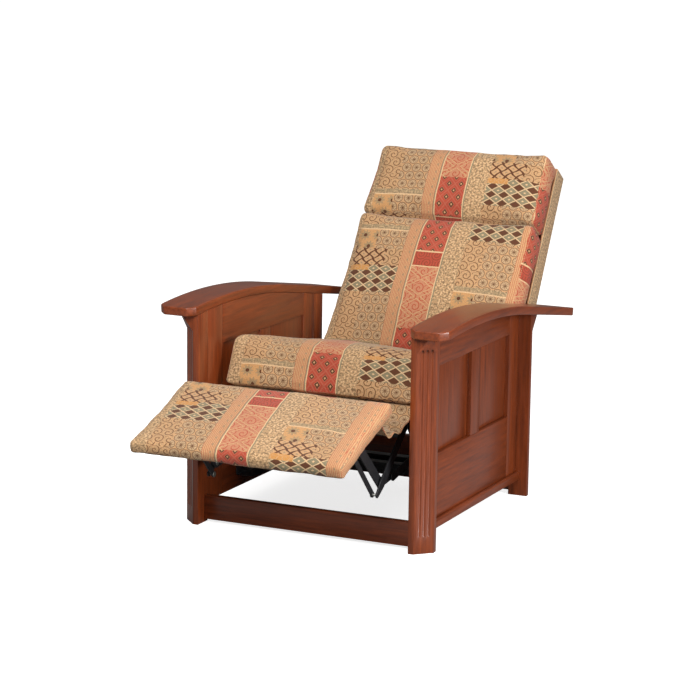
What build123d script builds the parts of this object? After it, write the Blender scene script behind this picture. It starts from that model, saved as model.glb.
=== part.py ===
from build123d import *
import math
import os

os.makedirs("parts", exist_ok=True)

# A bow-arm push-back recliner, shown reclined with its footrest out.
# Working frame: X to the sitter's left, Y to the back from the front faces of
# the front posts, Z up from the floor. Millimetres and degrees.

# General clearances and steel sizes
soft_gap = 1.5
joint_gap = 0.4
pin_clearance = 0.06
overrun = 120.0
link_thick = 4.0
link_gap = 3.0
rivet_head = 2.0
least_crown = 0.4

# Wooden frame
frame_width = 760.0
frame_depth = 793.0
post_size = 58.0
post_cut = 42.0
post_stop_height = 50.0
post_stop_tip = 2.0
flute_radius = 4.5
flute_depth = 2.6
flute_pitch = 13.5
flute_foot = 48.0
flute_top_drop = 12.0

# Arms
arm_width = 115.0
arm_thick = 24.0
arm_side_overhang = 56.0
arm_front_overhang = 30.0
arm_tail = 150.0
arm_clip = 22.0
bow_radius = 2200.0
bow_crest_y = 200.0
bow_crest_z = 632.0
bow_end_y = 560.0

# Side frames
side_thick = 21.0
side_foot = 57.0
front_stile_width = 87.0
rear_stile_width = 72.0
centre_stile_width = 66.0
centre_stile_y = 378.0
lower_rail_top = 252.0
upper_rail_least = 66.0
panel_thick = 6.0
panel_recess = 12.0
moulding_proud = 13.0
moulding_foot = 48.5
moulding_height = 23.5
moulding_bevel = 5.0

# Cross rails
stretcher_y = 38.0
stretcher_thick = 20.0
stretcher_foot = 9.0
stretcher_top = 78.0
rear_rail_inset = 13.0
rear_rail_thick = 22.0
rear_rail_foot = 10.0
rear_rail_top = 140.0

# Steel base and the seat's main pivot
seat_pivot_y = 350.0
seat_pivot_z = 122.0
channel_thick = 3.0
channel_foot = 95.0
channel_wall_height = 40.0
channel_y0 = 230.0
channel_rear_gap = 108.0
channel_ear_radius = 24.0
seat_pin_radius = 6.0
cross_tube_size = 30.0
cross_tube_front_inset = 190.0
cross_tube_rear_inset = 100.0
bolt_head_radius = 7.5
bolt_head_height = 5.0
bolt_inset = 45.0

# Seat
seat_edge_y = 150.0
seat_edge_z = 525.0
seat_tilt = 16.0
seat_side_gap = 30.0
seat_length = 572.0
seat_face_height = 145.0
seat_face_rake = 17.0
seat_pad_thick = 105.0
seat_lip_depth = 42.0
seat_end_rake = 28.0
seat_edge_round = 26.0
seat_crown = 22.0
seat_end_insets = (0, 5.0, 18.0)
seat_end_shrinks = (9.0, 3.0, 0)
seat_inner_shares = (0.6, 0.3)
seat_rail_thick = 26.0
seat_rail_height = 60.0
seat_rail_front = 50.0
seat_rail_inset = 24.0
seat_plate_thick = 4.0
seat_plate_drop = 150.0
seat_plate_front = 72.0
seat_plate_inset = 142.0
seat_bracket_reach = 28.0
seat_bracket_round = 14.0
seat_plate_hub = 20.0
wire_radius = 2.0
wire_drop = 7.0
wire_loops = 6
wire_lead = 14.0
wire_amplitude = 22.0
seat_wire_count = 5

# Footrest linkage, in the reclined pose
upper_pivot_y = 130.0
upper_pivot_z = 330.0
lower_pivot_y = -28.0
lower_pivot_z = 195.0
tail_pivot_y = 45.0
tail_pivot_z = 197.0
rear_pivot_y = 211.3
rear_pivot_z = 229.5
toe_length = 40.0
link_half_width = 15.0
thin_half_width = 8.0
follower_half_width = 11.0
pivot_pin_radius = 4.0
torque_tube_radius = 10.0
torque_tube_share = 0.2

# Footrest
foot_edge_y = -91.0
foot_edge_z = 437.0
foot_tilt = 20.0
foot_length = 334.0
foot_side_gap = 9.0
foot_pad_thick = 24.0
foot_crown = 8.0
foot_board_thick = 12.0
foot_board_margin = 12.0
foot_pad_round = 10.0
foot_draw_in = 5.0
bracket_front = 205.0
bracket_rear = 85.0
bracket_pivot = 125.0
bracket_toe = 154.0
bracket_drop = 17.0
bracket_toe_drop = 15.0
bracket_flange = 28.0
bracket_flange_thick = 3.0

# Apron cloth between the seat and the footrest
apron_thick = 3.0
apron_half_width = 284.0
apron_front_y = -72.0
apron_front_z = 346.0
apron_mid_y = -5.0
apron_mid_z = 336.0
apron_rear_y = 60.0
apron_rear_z = 346.0

# Back
back_setback = 26.0
back_lift = 52.0
back_tilt = 34.0
back_length = 677.0
back_foot = -80.0
back_side_gap = 22.0
back_taper = 20.0
back_thick = 162.0
back_pad_thick = 94.0
back_shell_wall = 8.0
back_shell_rear = 10.0
back_seam = 440.0
back_seam_gap = 3.0
back_pad_foot = -34.0
back_crown = 24.0
head_crown = 14.0
pad_round = 16.0
pad_draw_in = 6.0
pad_heel_share = 0.2
pad_end_shares = (0, 0.25, 1)
pad_inner_shares = (0.3, 0.5, 0.7)
pad_bend_share = 0.4
back_rail_width = 46.0
back_stile_thick = 26.0
back_stile_foot = -75.0
back_stile_top_gap = 17.0
back_stile_depth = 58.0
back_lower_rail_y = 0
back_upper_rail_inset = 63.0
back_wire_y0 = 70.0
back_wire_inset = 137.0
back_wire_count = 5
hinge_along = -61.0
hinge_deep = 60.0
hinge_hub = 18.0
hinge_plate_top = 60.0
hinge_pin_radius = 5.0

# Derived places shared by several pieces
half_width = frame_width / 2
inner_face = half_width - post_size
panel_face = inner_face + side_thick
rear_post_y = frame_depth - post_size
rear_rail_y = rear_post_y + rear_rail_inset
channel_y1 = rear_rail_y - channel_rear_gap
arm_inner = half_width + arm_side_overhang - arm_width
seat_half_width = inner_face - seat_side_gap
foot_half_width = inner_face - foot_side_gap
back_half_width_foot = inner_face - back_side_gap
seat_rail_rear = seat_length - seat_rail_inset
seat_rail_x = seat_half_width - soft_gap - seat_rail_thick
seat_plate_x = seat_rail_x - seat_plate_thick
layer_one = seat_plate_x - link_gap - link_thick
layer_two = layer_one - link_gap - link_thick
layer_three = layer_two - link_gap - link_thick
back_stile_x = layer_one - back_stile_thick
back_wire_span = back_length - back_wire_inset - back_wire_y0
channel_inner = seat_plate_x + seat_plate_thick + link_gap

seat_plane = Plane(
    origin=(0, seat_edge_y, seat_edge_z),
    x_dir=(1, 0, 0),
    z_dir=(0, math.sin(math.radians(seat_tilt)), math.cos(math.radians(seat_tilt))),
)
foot_plane = Plane(
    origin=(0, foot_edge_y, foot_edge_z),
    x_dir=(1, 0, 0),
    z_dir=(0, -math.sin(math.radians(foot_tilt)), math.cos(math.radians(foot_tilt))),
)
back_plane = Plane(
    origin=seat_plane.from_local_coords((0, seat_length + back_setback, back_lift)),
    x_dir=(1, 0, 0),
    z_dir=(0, -math.cos(math.radians(back_tilt)), math.sin(math.radians(back_tilt))),
)


def block(x0, x1, y0, y1, z0, z1):
    """A box between two corners."""
    centre = Pos((x0 + x1) / 2, (y0 + y1) / 2, (z0 + z1) / 2)
    return centre * Box(abs(x1 - x0), abs(y1 - y0), abs(z1 - z0))


def world_yz(plane, y, z):
    """The world (y, z) of a point given in a local plane."""
    point = plane.from_local_coords((0, y, z))
    return (point.Y, point.Z)


def disc(centre, radius, x0, thick):
    """A round plate or pin across X."""
    y, z = centre
    return Pos(x0 + thick / 2, y, z) * Rot(0, 90, 0) * Cylinder(radius, abs(thick))


def plate(spots, x0, thick):
    """A flat plate across X, the hull of round spots ((y, z), radius)."""
    edges = ShapeList()
    for (y, z), radius in spots:
        edges += (Pos(y, z) * Circle(radius)).edges()
    return Pos(x0, 0, 0) * extrude(Plane.YZ * make_hull(edges), amount=thick)


def pin_hole(centre, radius, x0, thick):
    """The cutter for a pin's running hole."""
    return disc(centre, radius + pin_clearance, x0 - joint_gap, thick + 2 * joint_gap)


def stud(centre, radius, x_from, x_to):
    """A pivot stud from x_from towards the middle, headed just beyond x_to."""
    tip = x_to - joint_gap
    shank = disc(centre, radius, tip, x_from - tip)
    return shank + disc(centre, 2 * radius, tip - rivet_head, rivet_head)


bow_slope = math.asin((bow_end_y - bow_crest_y) / bow_radius)


def bow_height(y, drop):
    """Height of the bow arm at y, measured drop below its top face."""
    radius = bow_radius - drop
    end_y = bow_crest_y + radius * math.sin(bow_slope)
    reach = min(y, end_y) - bow_crest_y
    height = bow_crest_z - bow_radius + math.sqrt(radius**2 - reach**2)
    return height - max(y - end_y, 0) * math.tan(bow_slope)


def bow_edges(drop, y0, y1):
    """The arc and the straight tail of the bow, from y0 to y1."""
    end_y = bow_crest_y + (bow_radius - drop) * math.sin(bow_slope)
    ys = (y0, (y0 + end_y) / 2, end_y, y1)
    pts = [(0, y, bow_height(y, drop)) for y in ys]
    return [ThreePointArc(*pts[:3]), Line(pts[2], pts[3])]


def bow_solid(drop_top, drop_foot, x0, width):
    """The arm's bow between two depths below its top face."""
    y0 = -arm_front_overhang
    y1 = frame_depth + arm_tail
    top = bow_edges(drop_top, y0, y1)
    foot = bow_edges(drop_foot, y0, y1)
    ends = [Line(top[0] @ 0, foot[0] @ 0), Line(top[1] @ 1, foot[1] @ 1)]
    face = make_face(Wire(top + foot + ends))
    return Pos(x0, 0, 0) * extrude(face, amount=width, dir=(1, 0, 0))


arm_trim = bow_solid(-overrun, arm_thick, -half_width, 2 * half_width)


def make_arm():
    """A flat bow arm with clipped front corners."""
    x0 = arm_inner
    x1 = arm_inner + arm_width
    y0 = -arm_front_overhang
    y1 = frame_depth + arm_tail
    plan = [
        (x0 + arm_clip, y0),
        (x1 - arm_clip, y0),
        (x1, y0 + arm_clip),
        (x1, y1),
        (x0, y1),
        (x0, y0 + arm_clip),
    ]
    plan_face = make_face(Polyline(*plan, close=True))
    outline = extrude(plan_face, amount=bow_crest_z + overrun)
    return bow_solid(0, arm_thick, x0, arm_width) & outline


def make_post(front):
    """A square post with a fluted, stopped cut on its outer corner."""
    y_inner = 0 if front else rear_post_y
    body = block(inner_face, half_width, y_inner, y_inner + post_size, 0, bow_crest_z)
    body = body - arm_trim
    corner_y = 0 if front else frame_depth
    inward = 1 if front else -1
    arm_foot = bow_height(corner_y + inward * post_size / 2, arm_thick)
    stop = arm_foot - post_stop_height

    def corner(leg, height):
        points = [
            (half_width + overrun, corner_y - inward * overrun),
            (half_width - leg - overrun, corner_y - inward * overrun),
            (half_width + overrun, corner_y + inward * (leg + overrun)),
        ]
        return Pos(0, 0, height) * make_face(Polyline(*points, close=True))

    cutter = extrude(corner(post_cut, 0), amount=stop)
    ramp = loft([corner(post_cut, stop), corner(post_stop_tip, arm_foot)])
    body = body - cutter - ramp
    across = post_cut / 2
    step = flute_pitch / math.sqrt(2)
    rise = (flute_radius - flute_depth) / math.sqrt(2)
    for index in (-1, 0, 1):
        x = half_width - across + index * step + rise
        y = corner_y + inward * (across + index * step - rise)
        length = stop + flute_top_drop - flute_foot
        flute = Pos(x, y, flute_foot + length / 2) * Cylinder(flute_radius, length)
        body = body - flute
    return body


def make_side():
    """The pieces of one framed and panelled side, as a dict."""
    y0 = post_size
    y1 = rear_post_y
    x0 = inner_face
    x1 = panel_face
    pieces = {}
    front_end = y0 + front_stile_width
    rear_start = y1 - rear_stile_width
    upper_rail_foot = bow_height(rear_start, arm_thick) - upper_rail_least
    centre_end = centre_stile_y + centre_stile_width
    pieces["front_stile"] = block(x0, x1, y0, front_end, side_foot, bow_crest_z) - arm_trim
    pieces["rear_stile"] = block(x0, x1, rear_start, y1, side_foot, bow_crest_z) - arm_trim
    pieces["top_rail"] = block(x0, x1, front_end, rear_start, upper_rail_foot, bow_crest_z) - arm_trim
    pieces["lower_rail"] = block(x0, x1, front_end, rear_start, side_foot, lower_rail_top)
    pieces["centre_stile"] = block(x0, x1, centre_stile_y, centre_end, lower_rail_top, upper_rail_foot)
    px1 = x1 - panel_recess
    px0 = px1 - panel_thick
    pieces["front_panel"] = block(px0, px1, front_end, centre_stile_y, lower_rail_top, upper_rail_foot)
    pieces["rear_panel"] = block(px0, px1, centre_end, rear_start, lower_rail_top, upper_rail_foot)
    bead = [
        (x1, moulding_foot),
        (x1 + moulding_proud, moulding_foot),
        (x1 + moulding_proud, moulding_foot + moulding_height - moulding_bevel),
        (x1 + moulding_proud - moulding_bevel, moulding_foot + moulding_height),
        (x1, moulding_foot + moulding_height),
    ]
    bead_face = make_face(Polyline(*[(x, y0, z) for x, z in bead], close=True))
    pieces["base_moulding"] = extrude(bead_face, amount=y1 - y0, dir=(0, 1, 0))
    return pieces


def make_channel():
    """The steel channel bolted inside the side, with the seat pivot's ear."""
    wall = inner_face - channel_thick
    foot = channel_foot
    low = foot + channel_wall_height / 2
    high = foot + channel_wall_height
    floor = block(channel_inner, wall, channel_y0, channel_y1, foot, foot + channel_thick)
    outer_wall = block(wall, inner_face, channel_y0, channel_y1, foot, high)
    inner_wall = block(channel_inner, channel_inner + channel_thick, channel_y0, channel_y1, foot, low)
    ear = disc((seat_pivot_y, seat_pivot_z), channel_ear_radius, channel_inner, channel_thick)
    return floor + outer_wall + inner_wall + ear


def seat_outline(shrink, crown):
    """Side outline of the seat cushion, drawn in by shrink and crowned."""
    corner_share = 1 - 1 / math.sqrt(2)
    rake_share = seat_edge_round / seat_face_height
    mid = (seat_edge_round + seat_length) / 2
    outline = [
        (-seat_face_rake, -seat_face_height),
        (-seat_face_rake * rake_share, -seat_edge_round),
        (seat_edge_round * corner_share, -seat_edge_round * corner_share),
        (seat_edge_round, 0),
        (mid, crown),
        (seat_length, 0),
        (seat_length - seat_end_rake, -seat_pad_thick),
        (seat_lip_depth, -seat_pad_thick),
        (seat_lip_depth - seat_face_rake, -seat_face_height),
    ]
    y_share = 1 - shrink / seat_length
    z_share = 1 - shrink / seat_pad_thick
    mid_z = -seat_pad_thick / 2
    return [(mid + (y - mid) * y_share, mid_z + (z - mid_z) * z_share) for y, z in outline]


def seat_section(x, shrink):
    """One face of the seat cushion across its width at x."""
    crown = seat_crown * (1 - (x / seat_half_width) ** 2) + least_crown
    pts = [(x, y, z) for y, z in seat_outline(shrink, crown)]
    edges = [
        Line(pts[0], pts[1]),
        ThreePointArc(*pts[1:4]),
        ThreePointArc(*pts[3:6]),
        Line(pts[5], pts[6]),
        Line(pts[6], pts[7]),
        Line(pts[7], pts[8]),
        Line(pts[8], pts[0]),
    ]
    return make_face(Wire(edges))


def make_seat_cushion():
    """A crowned cushion whose front wraps down over the front rail."""
    half = [(seat_half_width - inset, shrink) for inset, shrink in zip(seat_end_insets, seat_end_shrinks)]
    half += [(seat_half_width * share, 0) for share in seat_inner_shares]
    stations = [(-x, shrink) for x, shrink in half] + [(0, 0)] + half[::-1]
    return seat_plane * loft([seat_section(x, shrink) for x, shrink in stations], ruled=True)


def pad_section(y, half, top, foot, crown, corner):
    """One face of a pad at y: flat foot, round corners, crowned top."""
    turn_share = 1 - 1 / math.sqrt(2)
    turn = corner * turn_share
    heel = corner * pad_heel_share
    tuck = heel * turn_share

    def at(x, z):
        return (x, y, z)

    edges = [
        Line(at(heel - half, foot), at(half - heel, foot)),
        ThreePointArc(at(half - heel, foot), at(half - tuck, foot + tuck), at(half, foot + heel)),
        Line(at(half, foot + heel), at(half, top - corner)),
        ThreePointArc(at(half, top - corner), at(half - turn, top - turn), at(half - corner, top)),
        ThreePointArc(at(half - corner, top), at(0, top + crown), at(corner - half, top)),
        ThreePointArc(at(corner - half, top), at(turn - half, top - turn), at(-half, top - corner)),
        Line(at(-half, top - corner), at(-half, foot + heel)),
        ThreePointArc(at(-half, foot + heel), at(tuck - half, foot + tuck), at(heel - half, foot)),
    ]
    return make_face(Wire(edges))


def make_pad(y0, y1, half_at, thick, crown, corner, draw_in):
    """A cushion from y0 to y1 with rolled ends, drawn-in sides and a crown."""
    length = y1 - y0
    ends = [(share * corner, draw_in * (1 - share) ** 2) for share in pad_end_shares]
    rows = ends + [(length * share, 0) for share in pad_inner_shares]
    rows += [(length - reach, inset) for reach, inset in ends[::-1]]
    faces = []
    for reach, inset in rows:
        swell = math.sin(math.pi * reach / length)
        half = half_at(y0 + reach) - inset - swell * draw_in / 2
        rise = crown * swell + least_crown
        bend = min(corner, (thick - 2 * inset) * pad_bend_share)
        faces.append(pad_section(y0 + reach, half, -inset, inset - thick, rise, bend))
    return loft(faces, ruled=True)


def back_half(along):
    """Half width of the back at a distance up it."""
    return back_half_width_foot - back_taper * along / back_length


def back_face(y0, y1, inset):
    """The back's tapering outline between two distances up it."""
    low = back_half(y0) - inset
    high = back_half(y1) - inset
    return make_face(Polyline((-low, y0), (low, y0), (high, y1), (-high, y1), close=True))


def make_outside_back():
    """The tray that closes the back's rear, sides and top."""
    depth = back_thick - back_pad_thick
    tray = Pos(0, 0, -back_thick) * extrude(back_face(back_foot, back_length, 0), amount=depth)
    hollow_face = back_face(back_foot, back_length - back_shell_wall, back_shell_wall)
    hollow = Pos(0, 0, back_shell_rear - back_thick) * extrude(hollow_face, amount=depth)
    return back_plane * (tray - hollow)


def make_wire(x0, x1, drop):
    """One sinuous wire along X, at y 0 and drop below a local plane."""
    pitch = (x1 - x0 - 2 * wire_lead) / wire_loops
    points = [(x0, 0, -drop), (x0 + wire_lead, 0, -drop)]
    for index in range(wire_loops):
        y = wire_amplitude if index % 2 == 0 else -wire_amplitude
        start = x0 + wire_lead + pitch * index
        points.append((start + pitch / 4, y, -drop))
        points.append((start + pitch * 3 / 4, y, -drop))
    points += [(x1 - wire_lead, 0, -drop), (x1, 0, -drop)]
    path = FilletPolyline(*points, radius=pitch / 6)
    section = Plane(origin=path @ 0, z_dir=path % 0) * Circle(wire_radius)
    return sweep(section, path=path)


parts = {}


def add(name, *pieces):
    """Keep one piece, or a group of like pieces, under its node name."""
    parts[name] = list(pieces)


def add_pair(name, piece):
    """Keep a left piece and its mirror image on the right."""
    add(f"{name}_left", piece)
    add(f"{name}_right", mirror(piece, about=Plane.YZ))


def add_group(name, *pieces):
    """Keep left pieces and their mirror images as one group."""
    add(name, *pieces, *[mirror(piece, about=Plane.YZ) for piece in pieces])


# Wooden frame
add_pair("front_post", make_post(True))
add_pair("rear_post", make_post(False))
add_pair("arm", make_arm())
for name, piece in make_side().items():
    add_pair(f"side_{name}", piece)
stretcher_end = stretcher_y + stretcher_thick
rear_rail_end = rear_rail_y + rear_rail_thick
add(
    "front_stretcher",
    block(-inner_face, inner_face, stretcher_y, stretcher_end, stretcher_foot, stretcher_top),
)
add(
    "rear_stretcher",
    block(-inner_face, inner_face, rear_rail_y, rear_rail_end, rear_rail_foot, rear_rail_top),
)

# Steel base
pivot = (seat_pivot_y, seat_pivot_z)
add_pair("base_channel", make_channel())
tube_top = channel_foot + cross_tube_size
tubes = []
for y in (channel_y1 - cross_tube_front_inset, channel_y1 - cross_tube_rear_inset):
    tubes.append(block(-channel_inner, channel_inner, y, y + cross_tube_size, channel_foot, tube_top))
add("base_cross_tubes", *tubes)
bolt_z = channel_foot + channel_wall_height / 2
bolt_x = inner_face - channel_thick - bolt_head_height
bolt_ys = (channel_y0 + bolt_inset, channel_y1 - bolt_inset)
bolts = [disc((y, bolt_z), bolt_head_radius, bolt_x, bolt_head_height) for y in bolt_ys]
add_group("channel_bolts", *bolts)
add_group("seat_pivot_pins", stud(pivot, seat_pin_radius, channel_inner, seat_plate_x))

# Seat
upper = (upper_pivot_y, upper_pivot_z)
lower = (lower_pivot_y, lower_pivot_z)
tail = (tail_pivot_y, tail_pivot_z)
rear = (rear_pivot_y, rear_pivot_z)
hinge = world_yz(back_plane, hinge_along, -hinge_deep)
rail_top = -seat_pad_thick
rail_foot = rail_top - seat_rail_height
side_rail = block(
    seat_rail_x,
    seat_rail_x + seat_rail_thick,
    seat_rail_front,
    seat_rail_rear,
    rail_foot,
    rail_top,
)
add_pair("seat_side_rail", seat_plane * side_rail)
front_rail_end = seat_rail_front + seat_rail_thick
rear_rail_start = seat_rail_rear - seat_rail_thick
front_rail = block(-seat_plate_x, seat_plate_x, seat_rail_front, front_rail_end, rail_foot, rail_top)
rear_rail = block(-seat_plate_x, seat_plate_x, rear_rail_start, seat_rail_rear, rail_foot, rail_top)
add("seat_front_rail", seat_plane * front_rail)
add("seat_rear_rail", seat_plane * rear_rail)
add("seat_cushion", make_seat_cushion())

wire = make_wire(front_rail_end, rear_rail_start, seat_pad_thick + wire_drop)
seat_wires = []
for index in range(seat_wire_count):
    across = seat_plate_x * (2 * (index + 1) / (seat_wire_count + 1) - 1)
    seat_wires.append(seat_plane * Pos(across, 0, 0) * Rot(0, 0, 90) * wire)
add("seat_springs", *seat_wires)

plate_front = world_yz(seat_plane, seat_plate_front, -seat_plate_drop)
plate_rear = world_yz(seat_plane, seat_length - seat_plate_inset, -seat_plate_drop)
bracket_low = world_yz(seat_plane, seat_length + seat_bracket_reach, -seat_plate_drop)
main_plate = plate(
    [
        (pivot, seat_plate_hub),
        (rear, link_half_width),
        (upper, link_half_width),
        (plate_front, seat_bracket_round),
        (plate_rear, seat_bracket_round),
    ],
    seat_plate_x,
    seat_plate_thick,
)
arm_plate = plate(
    [(plate_rear, seat_bracket_round), (bracket_low, seat_bracket_round)],
    seat_plate_x,
    seat_plate_thick,
)
ear_plate = plate(
    [(bracket_low, seat_bracket_round), (hinge, hinge_hub)],
    seat_plate_x,
    seat_plate_thick,
)
seat_plate = main_plate + arm_plate + ear_plate
seat_plate = seat_plate - pin_hole(pivot, seat_pin_radius, seat_plate_x, seat_plate_thick)
add_pair("seat_side_plate", seat_plate)
add_group(
    "seat_pins",
    stud(upper, pivot_pin_radius, seat_plate_x, layer_one),
    stud(rear, pivot_pin_radius, seat_plate_x, layer_one),
    stud(hinge, hinge_pin_radius, seat_plate_x, layer_one),
)

# Apron cloth slung from the seat's lip to the footrest
lip_y, lip_z = world_yz(seat_plane, 0, -seat_face_height)
toe_y, toe_z = world_yz(foot_plane, -foot_board_margin, -foot_pad_thick - foot_board_thick)
sling = [
    (toe_y, toe_z - soft_gap - apron_thick),
    (apron_front_y, apron_front_z),
    (apron_mid_y, apron_mid_z),
    (apron_rear_y, apron_rear_z),
    (lip_y, lip_z - apron_thick),
]
low_edge = Spline(*[(-apron_half_width, y, z) for y, z in sling])
high_edge = Spline(*[(-apron_half_width, y, z + apron_thick) for y, z in sling])
sling_ends = [Line(low_edge @ 0, high_edge @ 0), Line(low_edge @ 1, high_edge @ 1)]
sling_face = make_face(Wire([low_edge, high_edge] + sling_ends))
add("front_apron", extrude(sling_face, amount=2 * apron_half_width, dir=(1, 0, 0)))

# Footrest linkage
reach = math.hypot(lower[0] - upper[0], lower[1] - upper[1])
toe_share = 1 + toe_length / reach


def along_rear_link(share):
    """A point on the rear link, from its upper pivot towards its toe."""
    y = upper[0] + (lower[0] - upper[0]) * share
    return (y, upper[1] + (lower[1] - upper[1]) * share)


toe = along_rear_link(toe_share)
tube_at = along_rear_link(torque_tube_share)
board_foot = -foot_pad_thick - foot_board_thick
knee = world_yz(foot_plane, -bracket_pivot, board_foot - bracket_drop)
knee_toe = world_yz(foot_plane, -bracket_toe, board_foot - bracket_toe_drop)
rear_link = plate([(upper, link_half_width), (lower, link_half_width)], layer_one, link_thick)
rear_link = rear_link + plate([(lower, link_half_width), (toe, thin_half_width)], layer_one, link_thick)
rear_link = rear_link - pin_hole(upper, pivot_pin_radius, layer_one, link_thick)
add_pair("rear_link", rear_link)
add("torque_tube", disc(tube_at, torque_tube_radius, -layer_one, 2 * layer_one))
add_group(
    "rear_link_pins",
    stud(lower, pivot_pin_radius, layer_one, layer_two),
    stud(toe, pivot_pin_radius, layer_one, layer_three),
)
front_link = plate([(tail, thin_half_width), (lower, link_half_width)], layer_two, link_thick)
front_link = front_link + plate([(lower, link_half_width), (knee, link_half_width)], layer_two, link_thick)
for centre in (lower, knee):
    front_link = front_link - pin_hole(centre, pivot_pin_radius, layer_two, link_thick)
add_pair("front_link", front_link)
rear_follower = plate([(rear, follower_half_width), (tail, follower_half_width)], layer_one, link_thick)
add_group("rear_followers", rear_follower - pin_hole(rear, pivot_pin_radius, layer_one, link_thick))
front_follower = plate([(toe, thin_half_width), (knee_toe, thin_half_width)], layer_three, link_thick)
add_group("front_followers", front_follower - pin_hole(toe, pivot_pin_radius, layer_three, link_thick))

# Footrest
board = block(
    foot_board_margin - foot_half_width,
    foot_half_width - foot_board_margin,
    foot_board_margin - foot_length,
    -foot_board_margin,
    board_foot,
    -foot_pad_thick,
)
add("footrest_board", foot_plane * board)
foot_pad = make_pad(
    -foot_length,
    0,
    lambda along: foot_half_width,
    foot_pad_thick,
    foot_crown,
    foot_pad_round,
    foot_draw_in,
)
add("footrest_cushion", foot_plane * foot_pad)
flange_foot = board_foot - bracket_flange_thick
flange = foot_plane * block(
    layer_one,
    layer_one + bracket_flange,
    -bracket_front,
    -bracket_rear,
    flange_foot,
    board_foot,
)
web_round = bracket_flange_thick / 2
web_spots = [
    (world_yz(foot_plane, -bracket_front + web_round, board_foot - web_round), web_round),
    (world_yz(foot_plane, -bracket_rear - web_round, board_foot - web_round), web_round),
    (knee, link_half_width),
    (knee_toe, follower_half_width),
]
bracket = flange + plate(web_spots, layer_one, link_thick)
add_group("footrest_brackets", bracket)
add_group("footrest_pins", stud(knee, pivot_pin_radius, layer_one, layer_two))

# Back
stile_front = -back_pad_thick
stile_rear = stile_front - back_stile_depth
stile = block(
    back_stile_x,
    layer_one,
    back_stile_foot,
    back_length - back_stile_top_gap,
    stile_rear,
    stile_front,
)
add_pair("back_stile", back_plane * stile)
for name, y in (("lower", back_lower_rail_y), ("top", back_length - back_upper_rail_inset)):
    rail = block(-back_stile_x, back_stile_x, y, y + back_rail_width, stile_rear, stile_front)
    add(f"back_{name}_rail", back_plane * rail)
back_wire = make_wire(-back_stile_x, back_stile_x, back_pad_thick + wire_drop)
back_wires = []
for index in range(back_wire_count):
    up = back_wire_y0 + back_wire_span * index / (back_wire_count - 1)
    back_wires.append(back_plane * Pos(0, up, 0) * back_wire)
add("back_springs", *back_wires)
lower_pad = make_pad(
    back_pad_foot,
    back_seam - back_seam_gap / 2,
    back_half,
    back_pad_thick,
    back_crown,
    pad_round,
    pad_draw_in,
)
add("lower_back_cushion", back_plane * lower_pad)
head_pad = make_pad(
    back_seam + back_seam_gap / 2,
    back_length,
    back_half,
    back_pad_thick,
    head_crown,
    pad_round,
    pad_draw_in,
)
add("headrest_cushion", back_plane * head_pad)
add("outside_back", make_outside_back())
stile_mid = stile_front - back_stile_depth / 2
foot_spot = world_yz(back_plane, hinge_along, stile_mid)
top_spot = world_yz(back_plane, hinge_plate_top, stile_mid)
hinge_plate = plate([(hinge, hinge_hub), (foot_spot, hinge_hub)], layer_one, link_thick)
hinge_plate = hinge_plate + plate([(foot_spot, hinge_hub), (top_spot, hinge_hub)], layer_one, link_thick)
hinge_plate = hinge_plate - pin_hole(hinge, hinge_pin_radius, layer_one, link_thick)
add_group("back_hinge_plates", hinge_plate)

# The row's origin is the middle of the bounding box, on the floor
boxes = [piece.bounding_box() for pieces in parts.values() for piece in pieces]
middle_y = (min(box.min.Y for box in boxes) + max(box.max.Y for box in boxes)) / 2
for name, pieces in parts.items():
    moved = [Pos(0, -middle_y, 0) * piece for piece in pieces]
    export_step(moved[0] if len(moved) == 1 else Compound(children=moved), f"parts/{name}.step")
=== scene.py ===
import math

import bmesh
import bpy
import numpy as np
from mathutils import Matrix, Vector, noise
from mathutils.bvhtree import BVHTree


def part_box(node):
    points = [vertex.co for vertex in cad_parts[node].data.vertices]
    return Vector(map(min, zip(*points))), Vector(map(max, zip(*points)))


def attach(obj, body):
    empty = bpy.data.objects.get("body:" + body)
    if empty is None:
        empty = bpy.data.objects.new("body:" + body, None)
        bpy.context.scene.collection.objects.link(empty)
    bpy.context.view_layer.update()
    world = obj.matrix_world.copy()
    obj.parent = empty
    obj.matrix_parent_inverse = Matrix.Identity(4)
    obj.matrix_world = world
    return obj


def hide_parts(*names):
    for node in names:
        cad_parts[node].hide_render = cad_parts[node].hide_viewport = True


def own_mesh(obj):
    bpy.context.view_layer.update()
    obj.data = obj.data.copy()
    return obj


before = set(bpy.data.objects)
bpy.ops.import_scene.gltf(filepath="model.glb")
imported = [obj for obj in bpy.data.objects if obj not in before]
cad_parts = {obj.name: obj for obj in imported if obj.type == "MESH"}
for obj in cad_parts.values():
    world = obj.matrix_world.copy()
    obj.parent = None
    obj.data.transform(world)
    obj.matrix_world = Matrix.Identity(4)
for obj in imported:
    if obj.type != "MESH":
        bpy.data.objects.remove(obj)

bl_info = {
    "name": "Bow-Arm Recliner",
    "version": (1, 0, 0),
    "blender": (4, 5, 0),
    "location": "3D View > Sidebar > Recliner",
    "description": "Finishes the cherry frame, tapestry cushions and steel mechanism of a push-back recliner",
    "category": "Object",
}

# Each cushion's plane in the shared frame: its origin, and its tilt as the rise of
# its own Y, in degrees. Lengths are metres, but for the cloth's, which are millimetres.
SEAT_EDGE = ((0.0, -0.27438, 0.525), -16.0)
FOOT_EDGE = ((0.0, -0.51538, 0.437), 20.0)
BACK_HEEL = ((0.0, 0.31482, 0.41015), 56.0)

# The photograph's view: the point looked at, the distance from it, the camera's
# angles in degrees, and its lens on a 36 mm sensor
VIEW_AIM, VIEW_DISTANCE = (0.031335, -0.185975, 0.493015), 6.933141
VIEW_AZIMUTH, VIEW_RISE, VIEW_ROLL = 25.002, 11.098, 0.746
VIEW_LENS, VIEW_SENSOR = 127.533, 36.0

PAIRED = ("left", "right")
WELD = 0.00001  # points nearer than this are one


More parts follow.
